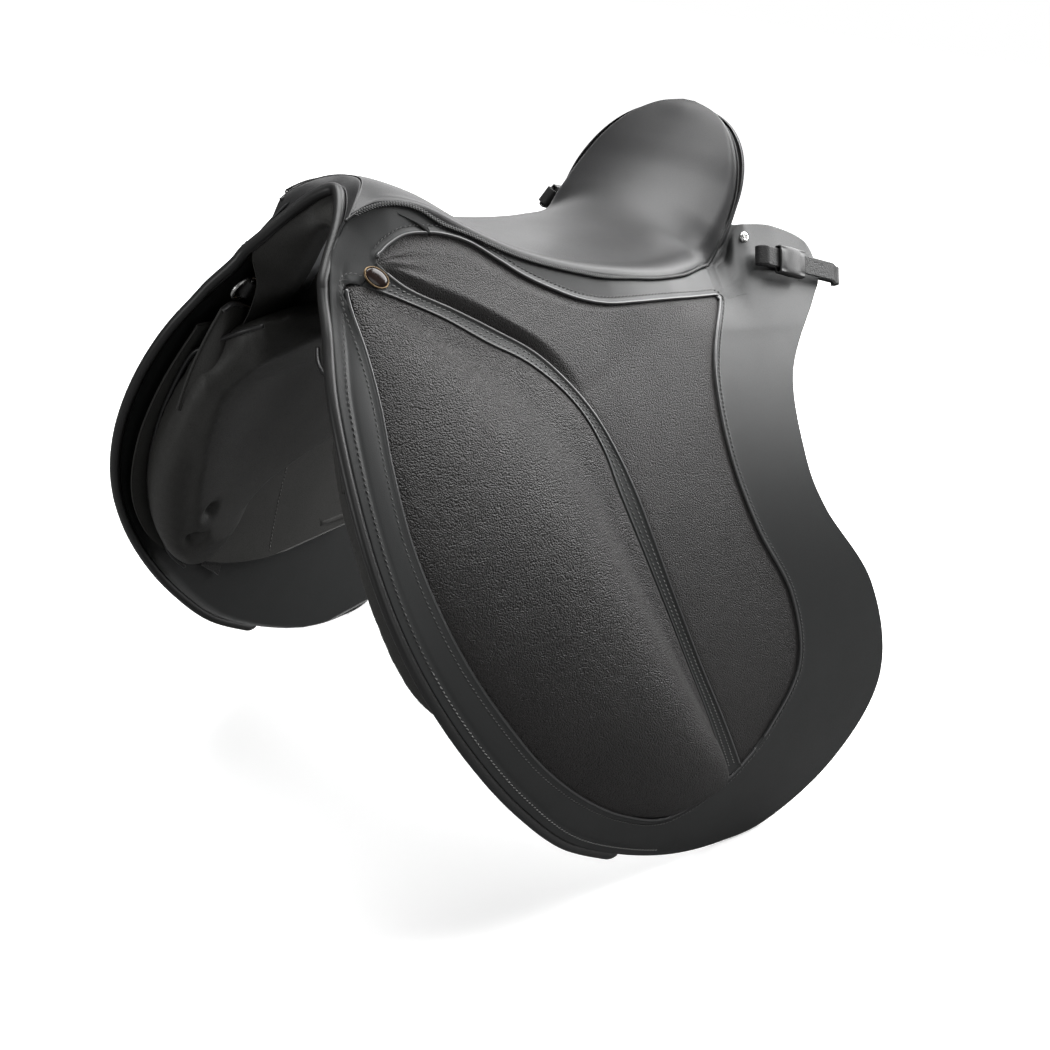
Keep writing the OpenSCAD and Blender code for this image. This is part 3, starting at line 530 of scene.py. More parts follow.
# %% Stitch rows
def stitch_row(line, lift, pitch=4.2, long=2.9, wide=0.75, slant=0.28):
    """Beads along a line of [y, t] points, lift mm above the sheet, each turned by the slant."""
    path = on_side(line, lift)
    n = max(2, int(lengths(path)[-1] / (pitch * MM)))
    flat = even(np.concatenate([path, line], 1), n)
    centre, yt = flat[:, :3], flat[:, 3:]
    tangent = np.gradient(centre, axis=0)
    tangent /= np.linalg.norm(tangent, axis=1, keepdims=True)
    normal = on_side(yt, lift + 1) - on_side(yt, lift)
    normal /= np.linalg.norm(normal, axis=1, keepdims=True)
    side = np.cross(normal, tangent)
    turned = np.cos(slant) * tangent + np.sin(slant) * side
    across = np.cross(normal, turned)
    a = np.array([-1, -0.8, -0.35, 0.35, 0.8, 1.0])
    r = np.array([0.25, 0.75, 1, 1, 0.75, 0.25])
    c = np.linspace(0, 2 * np.pi, 6, endpoint=False)
    bead = np.stack([np.repeat(a * long / 2, 6), np.outer(r, np.cos(c)).ravel() * wide / 2,
                     np.outer(r, np.sin(c)).ravel() * wide / 2 + np.repeat(-0.35 * a * a * wide, 6)], 1) * MM
    verts = (centre[:, None] + bead[None, :, :1] * turned[:, None] + bead[None, :, 1:2] * across[:, None]
             + bead[None, :, 2:] * normal[:, None]).reshape(-1, 3)
    one = quads(6, 6, False, True).tolist() + [list(range(6))[::-1], list(range(30, 36))]
    faces = [[k + 36 * i for k in f] for i in range(n) for f in one]
    return verts, faces


print("stitches on 100 mm", len(stitch_row(np.array([[0.0, 0], [0, 100]]), 0)[0]) // 36)


# %% [markdown]
# ## Seat
# The seat is one soft hide pulled over foam: a middle line from pommel to cantle, and an edge that
# follows the seam at the sides and the cantle's rim at the back. It swells a little above the seam
# and rolls over at the rim, which is what gives the broad soft highlights.

# %% Seat
SEAT_MID = [[-180, 42], [-160, 39], [-125, 29], [-85, 12], [-45, -1], [0, -9], [45, -12], [85, -11],
            [118, -5], [147, 8], [172, 25], [193, 45], [209, 66], [222, 84], [232, 98], [239, 104]]
SEAT_SEAM = [[-216, -102], [-191, -112], [-158, -109], [-120, -93], [-74, -76], [-22, -65], [37, -61],
             [80, -63], [112, -69.5], [138, -78.5]]
SEAT_RIM = [[97, 182, 3], [92, 201, 34], [80, 215, 62], [61, 227, 84], [36, 236, 98], [8, 239, 104]]
SEAT_TUCK = [[-2, 2, -2], [-7, 8, -6], [-13, 17, -11], [-18, 25, -15]]
SEAM_LIFT, SEAT_CROWN, SEAT_T = 1.6, 2, 2.4
seam_points = np.array(SEAT_SEAM)
SEAT_EDGE = np.concatenate([sheet(seam_points[:, 0], seam_points[:, 1] - SEAM_LIFT) / MM, np.array(SEAT_RIM)])
SEAT_EDGE[6:10] += SEAT_TUCK


def seat(u, v, e=0.0, swell=1.0):
    """Seat surface: u in rows from pommel (0) to cantle (15), v across from -1 to 1, e mm below."""
    c, b = along(SEAT_MID, u), along(SEAT_EDGE, u)
    w, s = ease((u - 8) / 4), np.abs(v)
    x = b[..., 0] * v - 0.45 * e * v
    y = c[..., 0] + (b[..., 1] - c[..., 0]) * s ** 1.7 + 0.75 * e * w
    crown = 4 * SEAT_CROWN * (1 - w) * s * s * (1 - s)
    z = c[..., 1] + (b[..., 2] - c[..., 1]) * s ** 2.4 + crown - e * (1 - 0.45 * w)
    puff = swell * (1 - w) * ease(u / 3) * (3.2 * bump(s, 0.9, 0.09) - 1.6 * ease((s - 0.94) / 0.06))
    roll = swell * w * 6.0 * np.clip((s - 0.86) / 0.14, 0, 1) ** 2
    return np.stack([x + 0.5 * puff * np.sign(v) - 0.45 * roll * v, y + 0.6 * roll,
                     z + 0.8 * puff - 0.5 * roll], -1) * MM


u, v = np.meshgrid(np.linspace(0, 15, 151), np.sin(np.linspace(-np.pi / 2, np.pi / 2, 121)), indexing="ij")
rim_drop = 0.9 * bump(np.abs(v), 1.0, 0.012)
hide = skin(seat(u, v, rim_drop), seat(u, v * 0.995, SEAT_T))
seat_cover = piece("seat", hide, SEAT_LEATHER, "saddle", ["seat_cover"])
u2, v2 = np.meshgrid(np.linspace(1, 12, 40), np.linspace(-0.86, 0.86, 30), indexing="ij")
foam = skin(seat(u2, v2, 2.9, 0), seat(u2, v2, 12.7, 0))
piece("seat_filling", foam, FOAM, "saddle", ["seat_foam"])
web_shapes = []
for low, high in ((-0.45, -0.22), (0.22, 0.45)):
    u3, v3 = np.meshgrid(np.linspace(2, 11, 40), np.linspace(low, high, 6), indexing="ij")
    web_shapes.append(skin(seat(u3, v3, 13.2, 0), seat(u3, v3, 14.8, 0)))
piece("seat_webbing", joined(web_shapes), WEBBING, "saddle", ["seat_webs"])
print("seat", len(seat_cover.data.polygons), "faces")

# %% [markdown]
# ## Pommel, arch and cantle
# In front of the seat a narrow cap covers the head of the tree. A rolled binding runs round the
# arch and goes on down the flaps. Behind, a hide closes the cantle, with a thin piping in the seam.

# %% Pommel, arch and cantle
ARCH_NEAR = [[0, -199.5, 33.6], [12, -205.2, 27.4], [24, -217, 13], [34.5, -233, -5.5]]
ARCH_NEAR += [list(sheet(y, t, d) / MM) for y, t, d in ((-243.1, -61, -7.5), (-245.7, -53.4, -7.2))]
ARCH = ARCH_NEAR[:0:-1] + [[-p[0], p[1], p[2]] for p in ARCH_NEAR]
arch_path = even(along(ARCH, np.linspace(0, 10, 240)), 180) * MM
arch_r = 3.7 + 0.7 * np.sin(np.pi * np.linspace(0, 1, 180)) ** 0.5
arch_bar = tube(arch_path, arch_r * MM, 20, (0, 1, 0.3))
piece("arch_roll", arch_bar, TRIM_LEATHER, "saddle", ["arch_binding"])


def cap_grid(drop):
    """Pommel cap: from the seat's front edge to beside the arch binding, bowed up between them."""
    v = np.sin(np.linspace(-np.pi / 2, np.pi / 2, 81))
    rear = seat(np.zeros_like(v), v, 0, 0) / MM - [0, 0.6, 0]
    s = 5 - 2.55 * v
    c = along(ARCH, s)
    t = along(ARCH, s + 0.05) - along(ARCH, s - 0.05)
    t /= np.linalg.norm(t, axis=1, keepdims=True)
    w = rear - c
    w -= (w * t).sum(1, keepdims=True) * t
    front = c + 5.0 * w / np.linalg.norm(w, axis=1, keepdims=True)
    f = np.linspace(0, 1, 15)[None, :, None]
    grid = front[:, None] * (1 - f) + rear[:, None] * f
    grid[..., 2] += 1.6 * np.sin(np.pi * f[..., 0]) - 1.2 * bump(f[..., 0], 1, 0.06) - drop
    grid[..., 0] -= 0.45 * drop * v[:, None]
    return grid * MM


pommel = skin(cap_grid(0), cap_grid(2.8))
piece("pommel_cover", pommel, SEAT_LEATHER, "saddle", ["pommel_cap"])
CANTLE_RIM = [[92, 180, -10], [95, 188, 4], [94, 205, 33], [83, 220.5, 60.5], [64, 232.5, 81.5],
              [37, 241, 95], [0, 244.5, 100.5]]
CANTLE_FOOT = [[87, 188, -26], [88, 194, -27], [85, 205, -28], [75, 219.5, -28], [53, 232.5, -27],
               [27, 241, -26], [0, 245, -26]]


def cantle_grid(inward):
    """Back of the cantle: from its rim down to its foot, bulged to the rear in the middle."""
    halves = (CANTLE_RIM, CANTLE_FOOT)
    rim, foot = np.array([c + [[-x, y, z] for x, y, z in c[-2::-1]] for c in halves], float)
    s, f = np.linspace(0, 12, 121), np.linspace(0, 1, 25)[None, :, None]
    grid = along(rim, s)[:, None] * (1 - f) + along(foot, s)[:, None] * f
    grid[..., 1] += 6 * np.sin(np.pi * f[..., 0]) * (1 - np.abs(grid[..., 0]) / 105)
    to_middle = np.stack([-grid[..., 0], 150 - grid[..., 1], 0 * grid[..., 0]], -1)
    return (grid + inward * to_middle / np.linalg.norm(to_middle, axis=-1, keepdims=True)) * MM


cantle = skin(cantle_grid(0), cantle_grid(2.1))
piece("cantle_cover", cantle, SEAT_LEATHER, "saddle", ["cantle_back"])
rim_u = np.linspace(8.9, 15, 90)
near_rim = seat(rim_u, np.ones_like(rim_u), 1.4) + np.array([0, 1.6, -0.6]) * MM
rim_path = even(np.concatenate([near_rim, near_rim[::-1] * [-1, 1, 1]]), 180)
piece("cantle_piping", tube(rim_path, 1.7 * MM, 12, (0, 0, 1)), TRIM_LEATHER, "saddle")
print("arch", len(arch_bar[1]), "pommel", len(pommel[1]), "cantle", len(cantle[1]), "faces")

# %% [markdown]
# ## Side leather and the plaited welt
# One smooth leather runs from the seam under the seat down to the flap's edge, with a window for the
# block and the inlay. It is a ring between two loops of template points. Its inner edge is turned
# into a narrow bright lip. A thin cord with two rows of short crossed beads covers the seam to the
# seat, and a gusset closes the gap under it.

# %% Side leather, welt and slit
def split_points(ys):
    """Points of the window's upper edge."""
    return [[y, float(split_level(y))] for y in ys]


RING_OUT = ([[-225.3, -89.5], [-211.5, -105]] + [[y, t + 1.0] for y, t in SEAM[2:15]]
            + [[133, -82], [146, -97], [160, -110], [174, -117], [192, -117], [234, -115], [277, -98]]
            + [[282, -64]] + OUTLINE[::-1] + [[-234.6, -75]])
WINDOW_TOP = [-197, -188, -175, -160, -142, -120, -98, -76, -52, -27, 1, 32, 64, 98, 122]
RING_IN = ([[-202, -73]] + split_points(WINDOW_TOP)
           + [[129, -45.8], [132, -46], [133.6, -45.8], [134.6, -45.2], [135, -44.4], [135, -43.4]]
           + [[134.6, -42], [133.4, -39]] + INLAY_REAR[7:13] + [[98, 385], [70, 403]] + BLOCK_FRONT[11::-1]
           + [[-206, -51]])
GROOVE_AT, SLIT_ROWS = 10.5, 24
ring_s = np.linspace(0, len(RING_OUT), 40 * len(RING_OUT), endpoint=False)


def loop(points, s):
    """Closed smooth curve through the points."""
    return along(np.array(points[-2:] + points + points[:3], float), s + 2)


out_fine, in_fine = loop(RING_OUT, ring_s), loop(RING_IN, ring_s)
steps = [np.linalg.norm(np.diff(line, axis=0), axis=1) for line in (out_fine, in_fine)]
travel = np.r_[0, np.cumsum(np.maximum(*steps))]
ring_s = np.interp(np.linspace(0, travel[-1], 720, endpoint=False), travel, ring_s)
ring_out, ring_in = loop(RING_OUT, ring_s), loop(RING_IN, ring_s)
side_yt, x_out, x_in = band(ring_out, ring_in, 18)
front_part = ease((ring_s - 31.5) / 1.5) * ease((44.5 - ring_s) / 1.0)
groove = 0.6 * bump(x_out, GROOVE_AT, 1.5) * front_part[:, None]
lip_high = 1.15 * (1 - ease((ring_s - 42.6) / 0.5) * ease((45.2 - ring_s) / 0.4))[:, None]
side_d = lip_high * bump(x_in, 2.0, 1.9) - round_off(x_in, 0.7) - round_off(x_out, 1.0) - groove
near_arch = ease(np.interp((ring_s + 5) % len(RING_OUT), [0, 2, 3, 4, 5.6, 7.4], [0, 0.3, 0.8, 1, 1, 0]))
side_d = side_d - 5.0 * near_arch[:, None] * np.exp(-(x_out / 20) ** 2)
swelling = np.sin(np.pi * np.clip((x_out - GROOVE_AT) / (x_out + x_in - GROOVE_AT), 0, 1))
side_d = side_d + 1.1 * front_part[:, None] * swelling


def ring_skin(top, bottom):
    """Closed skin of two grids that are rings along their first side."""
    both = np.concatenate([top, bottom[:, ::-1]], 1)
    return both.reshape(-1, 3), quads(both.shape[0], both.shape[1], True, True)


def inset(line, distance):
    """Line moved sideways by a distance, to the right of its direction."""
    t = np.gradient(line, axis=0)
    t /= np.linalg.norm(t, axis=1, keepdims=True)
    return line + distance * np.stack([t[:, 1], -t[:, 0]], 1)


front_lip = even(inset(loop(RING_IN, np.linspace(29.2, 43.4, 400)), 6.6), 400)
rear_lip = even(inset(loop(RING_IN, np.linspace(0.8, 29.0, 700)), 6.2), 700)
edge_high = inset(along(OUTLINE, np.linspace(0.1, 5.6, 200)), 6.8)
edge_low = inset(along(OUTLINE, np.linspace(5.62, 10.6, 200)), 6.8)
EDGE_ROWS = (("high", edge_high, GREY_THREAD), ("low", edge_low, PALE_THREAD))
seam = along(SEAM, np.linspace(0.5, WELT_END, 300)) + [0, 0.5]
dive = 2.6 * (1 - ease(np.linspace(0, 1, 300) / 0.07))
welt = [tube(even(on_side(seam, 0.9 - dive), 400), 1.3 * MM, 10, (1, 0, 1))]
for offset, slant in ((-0.8, 0.75), (0.8, -0.75)):
    welt.append(stitch_row((seam + [0, offset])[8:], 1.9, 2.5, 3.4, 1.25, slant))
f = np.linspace(0, 1, SLIT_ROWS)
upper = np.stack([-177 + 21 * f, -106.5 + 9.5 * f], 1)
lower = np.stack([-177 + 23 * f, -105.5 + 14.5 * f - 2.0 * np.sin(np.pi * f)], 1)
tab_yt, xa, xb = band(upper, lower, 6, (0, 0.3, 0.7, 1.2))
tab_d = 0.5 + 1.9 * ease(f)[:, None] - round_off(np.minimum(xa, xb), 0.5)
tab = skin(on_side(tab_yt, tab_d), on_side(tab_yt, 0.3))
side_hide = ring_skin(on_side(side_yt, side_d), on_side(side_yt, np.minimum(-2.3, side_d - 1.9)))
for side in SIDES:
    side_piece("side_leather", side_hide, FLAP_LEATHER, "flap_body", side,
               ["skirt", "facing"], True)
    for name, row, lift in (("front", front_lip, 1.15), ("rear", rear_lip, 0.4)):
        beads = stitch_row(row, lift, 4.0, 2.8, 0.85)
        side_piece(f"lip_stitches_{name}", beads, GREY_THREAD, "flap_body", side, (), True)
    for name, row, thread in EDGE_ROWS:
        beads = stitch_row(row, 0.4, 4.2, 3.1, 0.9)
        side_piece(f"edge_stitches_{name}", beads, thread, "flap_body", side, (), True)
    side_piece("welt_plait", joined(welt), TRIM_LEATHER, "saddle", side, ["welt"])
    # The slit's tab is near-black, a painted shade of the slit's dark inside.
    side_piece("bar_slit", tab, SLIT_PAINTED_SHADE, "saddle", side, ["bar_tab"])
print("side leather", len(side_hide[1]), "faces")

# %% [markdown]
# ### Gusset and lips
# The gusset is a narrow strip from the seat's edge to the leather, sagging a little, which hides the
# tree. The lips are burnished beads along the window and the block, and they catch the light; their
# paler colour adds a painted highlight.

# %% Gusset and lips
gusset_s = np.linspace(10, 14.6, 50)
seat_rows = np.interp([10, 11, 12, 13, 14, 15], [10, 12, 13, 14, 15], [5, 6, 6.75, 7.7, 8.9])
gusset_in = along(seat(seat_rows, np.ones(6), 1.6) / MM, gusset_s - 10) * MM
gusset_out = on_side(along(SEAM, gusset_s) + [0, 2.4], -0.6)
f = np.linspace(0, 1, 9)[None, :, None]
gusset_sag, gusset_wall = np.array([0, 0, 2.0]) * MM, np.array([0, 0, 1.6]) * MM
gusset = gusset_out[:, None] * (1 - f) + gusset_in[:, None] * f - gusset_sag * np.sin(np.pi * f)
gusset_strip = skin(gusset, gusset - gusset_wall)
for side in SIDES:
    side_piece("skirt_gusset", gusset_strip, FLAP_LEATHER, "saddle", side)
LIP_LINES = {"window": loop(RING_IN, np.linspace(0.1, 29.3, 900)),
             "block": loop(RING_IN, np.linspace(29.6, 42.9, 500))}
for side in SIDES:
    for name, line in LIP_LINES.items():
        bar = tube(even(on_side(inset(line, 1.0), 0.75), 500), 1.25 * MM, 10)
        # Lip beads in the paler leather, which paints a highlight along them.
        side_piece(f"{name}_lip", bar, LIP_PAINTED_HIGHLIGHT, "flap_body", side, (), True)
print("lips", len(LIP_LINES), "on each side")

# %% [markdown]
# ## Lower leather and rolled edge
# Under the side leather lies the stout flap itself. A soft roll is sewn along its front edge, and
# ends in a rounded nose near the bottom.

# %% Lower leather and rolled edge
levels = np.r_[np.linspace(0, 420, 29), 435, 450, 463, 473, 480, 483.5]
front_edge = along(OUTLINE[:13], np.linspace(0, 12, 200))
rear_edge = along(OUTLINE[12:], np.linspace(0, 8, 150))
y_front = np.interp(levels, front_edge[:, 1], front_edge[:, 0]) + 1.2
y_rear = np.interp(levels, rear_edge[::-1, 1], rear_edge[::-1, 0]) - 0.6
f = np.linspace(0, 1, 33)
top_y = -236 + 500 * f
top_line = np.stack([top_y, split_level(top_y) + 0.4], 1)
low_y = y_front[:, None] + (y_rear - y_front)[:, None] * f
flap_rows = np.stack([low_y, np.broadcast_to(levels[:, None], low_y.shape)], -1)
fade = np.linspace(0, 1, 9)[:-1, None, None]
flap_yt = np.concatenate([top_line[None] * (1 - fade) + flap_rows[:1] * fade, flap_rows])
roll_line = even(inset(along(OUTLINE[:11], np.linspace(0, 10, 260)), -3.3), 240)
at_end = np.clip((np.linspace(0, 1, 240) - 0.975) / 0.025, 0, 1)
roll_r = 3.9 * np.sqrt(1 - 0.97 * at_end ** 2)
roll_line = roll_line + 3.0 * ease(at_end)[:, None] * np.array([0.1, -1.0])
corner_drop = 5 * np.exp(-((flap_yt[..., 0] + 244) / 26) ** 2) * ease((-5 - flap_yt[..., 1]) / 50)
lower_leather = skin(on_side(flap_yt, -2.8 - corner_drop), on_side(flap_yt, -5.0 - corner_drop))
edge_roll = tube(on_side(roll_line, -2.3 - 5.2 * ease((-18 - roll_line[:, 1]) / 42)), roll_r * MM, 16)
for side in SIDES:
    side_piece("flap_leather", lower_leather, FLAP_LEATHER, "flap_body", side, ["flap"], True)
    side_piece("flap_edge", edge_roll, TRIM_LEATHER, "flap_body", side, ["flap_roll"])
print("lower leather", len(lower_leather[1]), "roll", len(edge_roll[1]), "faces")

# %% [markdown]
# ## Knee block, strip and calf inlay
# The block is a foam form under pebbled hide. Its height is one profile along its length times one
# across it: a steep front, a crown, then a shallow valley before the strip. The inlay is a thin
# grippy leather that lies just below the facing and puffs up in its front corner.

# %% Block, strip and inlay
BLOCK_H = 28.0
BLOCK_ALONG = [[0, 0.03], [0.08, 0.16], [0.2, 0.46], [0.35, 0.76], [0.5, 0.93], [0.64, 1.0], [0.78, 0.96],
               [0.88, 0.78], [0.95, 0.45], [1, 0.02]]
BLOCK_ACROSS = [[0, 0.0], [0.03, 0.16], [0.08, 0.36], [0.17, 0.63], [0.3, 0.88], [0.44, 1.0], [0.56, 0.97],
                [0.67, 0.77], [0.76, 0.48], [0.83, 0.28], [0.9, 0.19], [0.96, 0.14], [1, 0.0]]


def profile(knots, x):
    """Smooth height profile through [place, height] knots."""
    fine = along(knots, np.linspace(0, len(knots) - 1, 300))
    return np.interp(x, fine[:, 0], fine[:, 1])


s_block = np.linspace(0, 13, 181)
front_line, rear_line = along(BLOCK_FRONT, s_block), along(BLOCK_REAR, s_block)
across = np.unique(np.r_[0, 0.006, 0.015, 0.03, np.linspace(0.05, 0.95, 61), 0.97, 0.985, 0.994, 1.0])
block_yt = front_line[:, None] + (rear_line - front_line)[:, None] * across[None, :, None]
lengthwise = s_block / 13
valley = 1 - 0.5 * ease((lengthwise - 0.75) / 0.25)[:, None]
dome = profile(BLOCK_ALONG, lengthwise)[:, None] * profile(BLOCK_ACROSS, across)[None, :]
ridge = bump(across, 0.9, 0.08)[None, :] * np.sin(np.pi * lengthwise)[:, None] * valley
block_d = 0.2 + BLOCK_H * dome + ridge

strip_front, strip_rear = along(BLOCK_REAR, s_block), along(INLAY_FRONT, s_block)
strip_yt, s_a, s_b = band(strip_front, strip_rear, 6, (0, 0.4, 0.9, 1.5, 2.2))
strip_d = 1.2 - round_off(s_a, 0.9) - round_off(s_b, 0.9)
strip_d = strip_d + 1.1 * bump(s_b, 1.4, 1.1) + 0.35 * bump(s_a, 1.3, 1.0)
strip_d = strip_d - 1.1 * (1 - ease(s_block / 1.3))[:, None]

inlay_front, inlay_rear = along(INLAY_FRONT, s_block), along(INLAY_REAR, s_block)
upper_part = s_block <= 6
inlay_rear[upper_part, 1] = split_level(inlay_rear[upper_part, 0])
inlay_yt, i_a, i_b = band(inlay_front, inlay_rear, 40, (0, 0.5, 1.2, 2.2, 3.5, 5.5, 8.0))
f_in = i_a / (i_a + i_b + 1e-9)
corner = np.sin(np.pi * np.clip(s_block / 5.4, 0, 1))[:, None] ** 0.8
corner_puff = 8.5 * corner * ease(i_a / 11) * ease(i_b / 16) * (1 - 0.75 * f_in)
inlay_d = -0.9 + 0.7 * ease(i_a / 7) * ease(i_b / 7) + corner_puff
from_corner = inlay_yt - np.array([-206, -72])
fold_at, fold_far = np.arctan2(from_corner[..., 1], from_corner[..., 0]), np.linalg.norm(from_corner, axis=-1)
inlay_d = inlay_d + 0.55 * np.sin(19 * fold_at) * bump(fold_far, 24, 16) * ease(i_a / 4) * ease(i_b / 4)

block_form = skin(on_side(block_yt, block_d), on_side(block_yt, -2.25))
strip_form = skin(on_side(strip_yt, strip_d), on_side(strip_yt, -2.2))
inlay_form = skin(on_side(inlay_yt, inlay_d), on_side(inlay_yt, -2.3))
to_rear = strip_rear - strip_front
for side in SIDES:
    block = side_piece("knee_block_pad", block_form, BLOCK_LEATHER, "flap_body", side,
                       ["knee_block"])
    side_piece("block_strip_leather", strip_form, FLAP_LEATHER, "flap_body", side,
               ["block_strip"])
    inlay = side_piece("calf_pad", inlay_form, GRIP_LEATHER, "flap_body", side,
                       ["calf_inlay"], True)
    for name, line, share, r in (("front", strip_front, 0.06, 0.7), ("rear", strip_rear, -0.1, 1.2)):
        bar = tube(even(on_side((line + to_rear * share)[6:-2], 1.35), 300), r * MM, 10)
        side_piece(f"strip_lip_{name}", bar, LIP_PAINTED_HIGHLIGHT, "flap_body", side)
    for k, share in enumerate((0.3, 0.62)):
        beads = stitch_row((strip_front + to_rear * share)[8:-3], 1.5, 4.2, 2.8, 0.8)
        side_piece(f"strip_stitches_{k}", beads, PALE_THREAD, "flap_body", side)
print("block", len(block_form[1]), "strip", len(strip_form[1]), "inlay", len(inlay_form[1]), "faces")

# %% [markdown]
# ## Studs and screws
# The metal is small but bright, so it gets real form: an oval stud with a brass rim round a dark
# enamel face, and a nickel screw with a cross recess behind the seat. Both are turned profiles; the
# stud is squeezed to an oval, and the recess is pressed into a fine polar grid.

# %% Studs and screws
def local_frame(y, t, d):
    """Origin and axes on the sheet: out, rearward and up the sheet, as columns."""
    o = sheet(y, t, d)
    out = sheet(y, t, d + 1) - o
    aft = sheet(y + 1, t, d) - o
    out, aft = out / np.linalg.norm(out), aft / np.linalg.norm(aft)
    return o, np.stack([out, aft, np.cross(out, aft)], 1)


def turned_about_out(axes, degrees):
    """Axes turned about their first one, from the second towards the third."""
    c, q = np.cos(np.radians(degrees)), np.sin(np.radians(degrees))
    return np.stack([axes[:, 0], c * axes[:, 1] + q * axes[:, 2], c * axes[:, 2] - q * axes[:, 1]], 1)


def spun(profile_rz, origin, axes, n=40, wide=1.0, tall=1.0):
    """Profile of [radius, height] in mm turned about the outward axis; oval if wide and tall differ."""
    a = np.linspace(0, 2 * np.pi, n, endpoint=False)
    p = np.asarray(profile_rz, float)
    out = np.broadcast_to(p[:, 1:], (len(p), n))
    local = np.stack([out, p[:, :1] * np.cos(a) * wide, p[:, :1] * np.sin(a) * tall], -1) * MM
    return (origin + local @ axes.T).reshape(-1, 3), capped(len(p), n)


STUD_RIM = [[10.8, 0], [11.4, 0.3], [11.6, 0.9], [11.3, 1.5], [10.8, 1.7], [10.3, 1.5], [10.1, 1.1],
            [10.0, 0.4]]
STUD_FACE = [[10.2, 0.2], [10.2, 1.1], [9.4, 1.75], [6.6, 2.25], [3.2, 2.5], [0.3, 2.55]]
SCREW_HEAD = [[5.3, 0], [5.5, 0.4], [5.4, 1.1], [4.9, 1.9], [3.9, 2.4], [2.4, 2.6], [0.2, 2.65]]
SCREW_AT = (192, -103)
origin, axes = local_frame(-209, -60, 2.3)
axes = turned_about_out(axes, -30)
stud_rim = spun(STUD_RIM, origin, axes, 56, 0.9, 0.62)
stud_face = spun(STUD_FACE, origin, axes, 56, 0.9, 0.61)
for side in SIDES:
    side_piece("stud_rim", stud_rim, BRASS, "flap_body", side, ["stud"])
    side_piece("stud_face", stud_face, ENAMEL, "flap_body", side)


def cross_head(origin, axes):
    """Pan head on a fine polar grid: the turned profile, less a cross-shaped recess in the middle."""
    fine = along(SCREW_HEAD, np.linspace(0, len(SCREW_HEAD) - 1, 40))
    a = np.linspace(0, 2 * np.pi, 72, endpoint=False)
    y, z = fine[:, :1] * np.cos(a), fine[:, :1] * np.sin(a)
    slot_y = ease((0.75 - np.abs(y)) / 0.3) * ease((3.0 - np.abs(z)) / 0.5)
    slot_z = ease((0.75 - np.abs(z)) / 0.3) * ease((3.0 - np.abs(y)) / 0.5)
    x = fine[:, 1:] - 1.5 * np.maximum(slot_y, slot_z)
    verts = (origin + np.stack([x, y, z], -1) * MM @ axes.T).reshape(-1, 3)
    return verts, capped(40, 72)


origin, axes = local_frame(*SCREW_AT, 0.4)
origin = origin + tuck(*SCREW_AT) * DRAWN_IN * MM
near_screw = cross_head(origin, turned_about_out(axes, 35))
far_screw = (near_screw[0] * [-1, 1, 1], [f[::-1] for f in near_screw[1]])
piece("screw_heads", joined([near_screw, far_screw]), NICKEL, "saddle", ["rear_screws"])
print("stud", len(stud_rim[1]) + len(stud_face[1]), "screw", len(near_screw[1]), "faces")

# %% [markdown]
# ## Rings and rear straps
# A nickel ring hangs in a folded tab under the front of the flap. The rear strap is one length of
# leather turned back on itself in an open loop, and a moulded keeper slides on its outer layer. Both
# folds are a flat path with a thickness, and the keeper is a sleeve with rounded square sections.

# %% Rings, tabs and rear straps
def ribbon(path, half, thick, origin, axes, soft=0.8, drop=0.0):
    """Strap along a path of [out, rearward] mm, lowered by drop: two faces half its thickness off the
    path, with rounded long edges."""
    path = np.asarray(path, float)
    t = np.gradient(path, axis=0)
    t /= np.linalg.norm(t, axis=1, keepdims=True)
    n = np.stack([-t[:, 1], t[:, 0]], 1)
    z = np.r_[0, 0.25, 0.6, 1.2, 2.0]
    z = np.r_[-half + z, np.linspace(-half + 3, half - 3, 9), half - z[::-1]]
    h = thick / 2 - np.minimum(round_off(half - np.abs(z), soft), thick / 2 - 0.1)
    z_all = np.broadcast_to(z[None, :, None] - np.reshape(drop, (-1, 1, 1)), (len(path), len(z), 1))
    faces = []
    for sign in (1, -1):
        xy = path[:, None] + sign * n[:, None] * h[None, :, None]
        faces.append(origin + np.concatenate([xy, z_all], -1) * MM @ axes.T)
    return skin(faces[0], faces[1])


def arc(cx, cy, r, a, b, n=16):
    """Points of an arc in [out, rearward], angles in degrees from out towards rearward."""
    a = np.radians(np.linspace(a, b, n))
    return np.stack([cx + r * np.cos(a), cy + r * np.sin(a)], 1)


def d_path():
    """Centre line of the ring from its bar: rounded corners, two legs and a half circle, [forward, up]."""
    bar = np.stack([np.zeros(12), np.linspace(-8, 8, 12)], 1)
    half = np.concatenate([arc(-2.1, 8.0, 2.1, 0, 90, 7), [[-4, 10.1]], arc(-5, 0, 10.1, 90, 180, 20)])
    return np.concatenate([bar, half, (half * [1, -1])[-2::-1]])


RING_X, RING_Y = 4.3, -32
ring_o, ring_axes = local_frame(-198, -32, -20.7)
d = d_path()
ring_line = ring_o + np.stack([np.full(len(d), RING_X), RING_Y + d[:, 0], d[:, 1]], 1) * MM @ ring_axes.T
ring = tube(ring_line, 1.6 * MM, 16, ring_axes[:, 0], True)
fold = np.concatenate([np.stack([np.full(20, 0.95), np.linspace(10, -31, 20)], 1),
                       arc(RING_X, RING_Y, 3.35, 180, 360, 22),
                       np.stack([7.65 - 2.2 * ease(np.linspace(0, 1, 16) * 2), np.linspace(-31, -2, 16)], 1)])
ring_tab = ribbon(fold, 7.4, 1.85, ring_o, ring_axes)

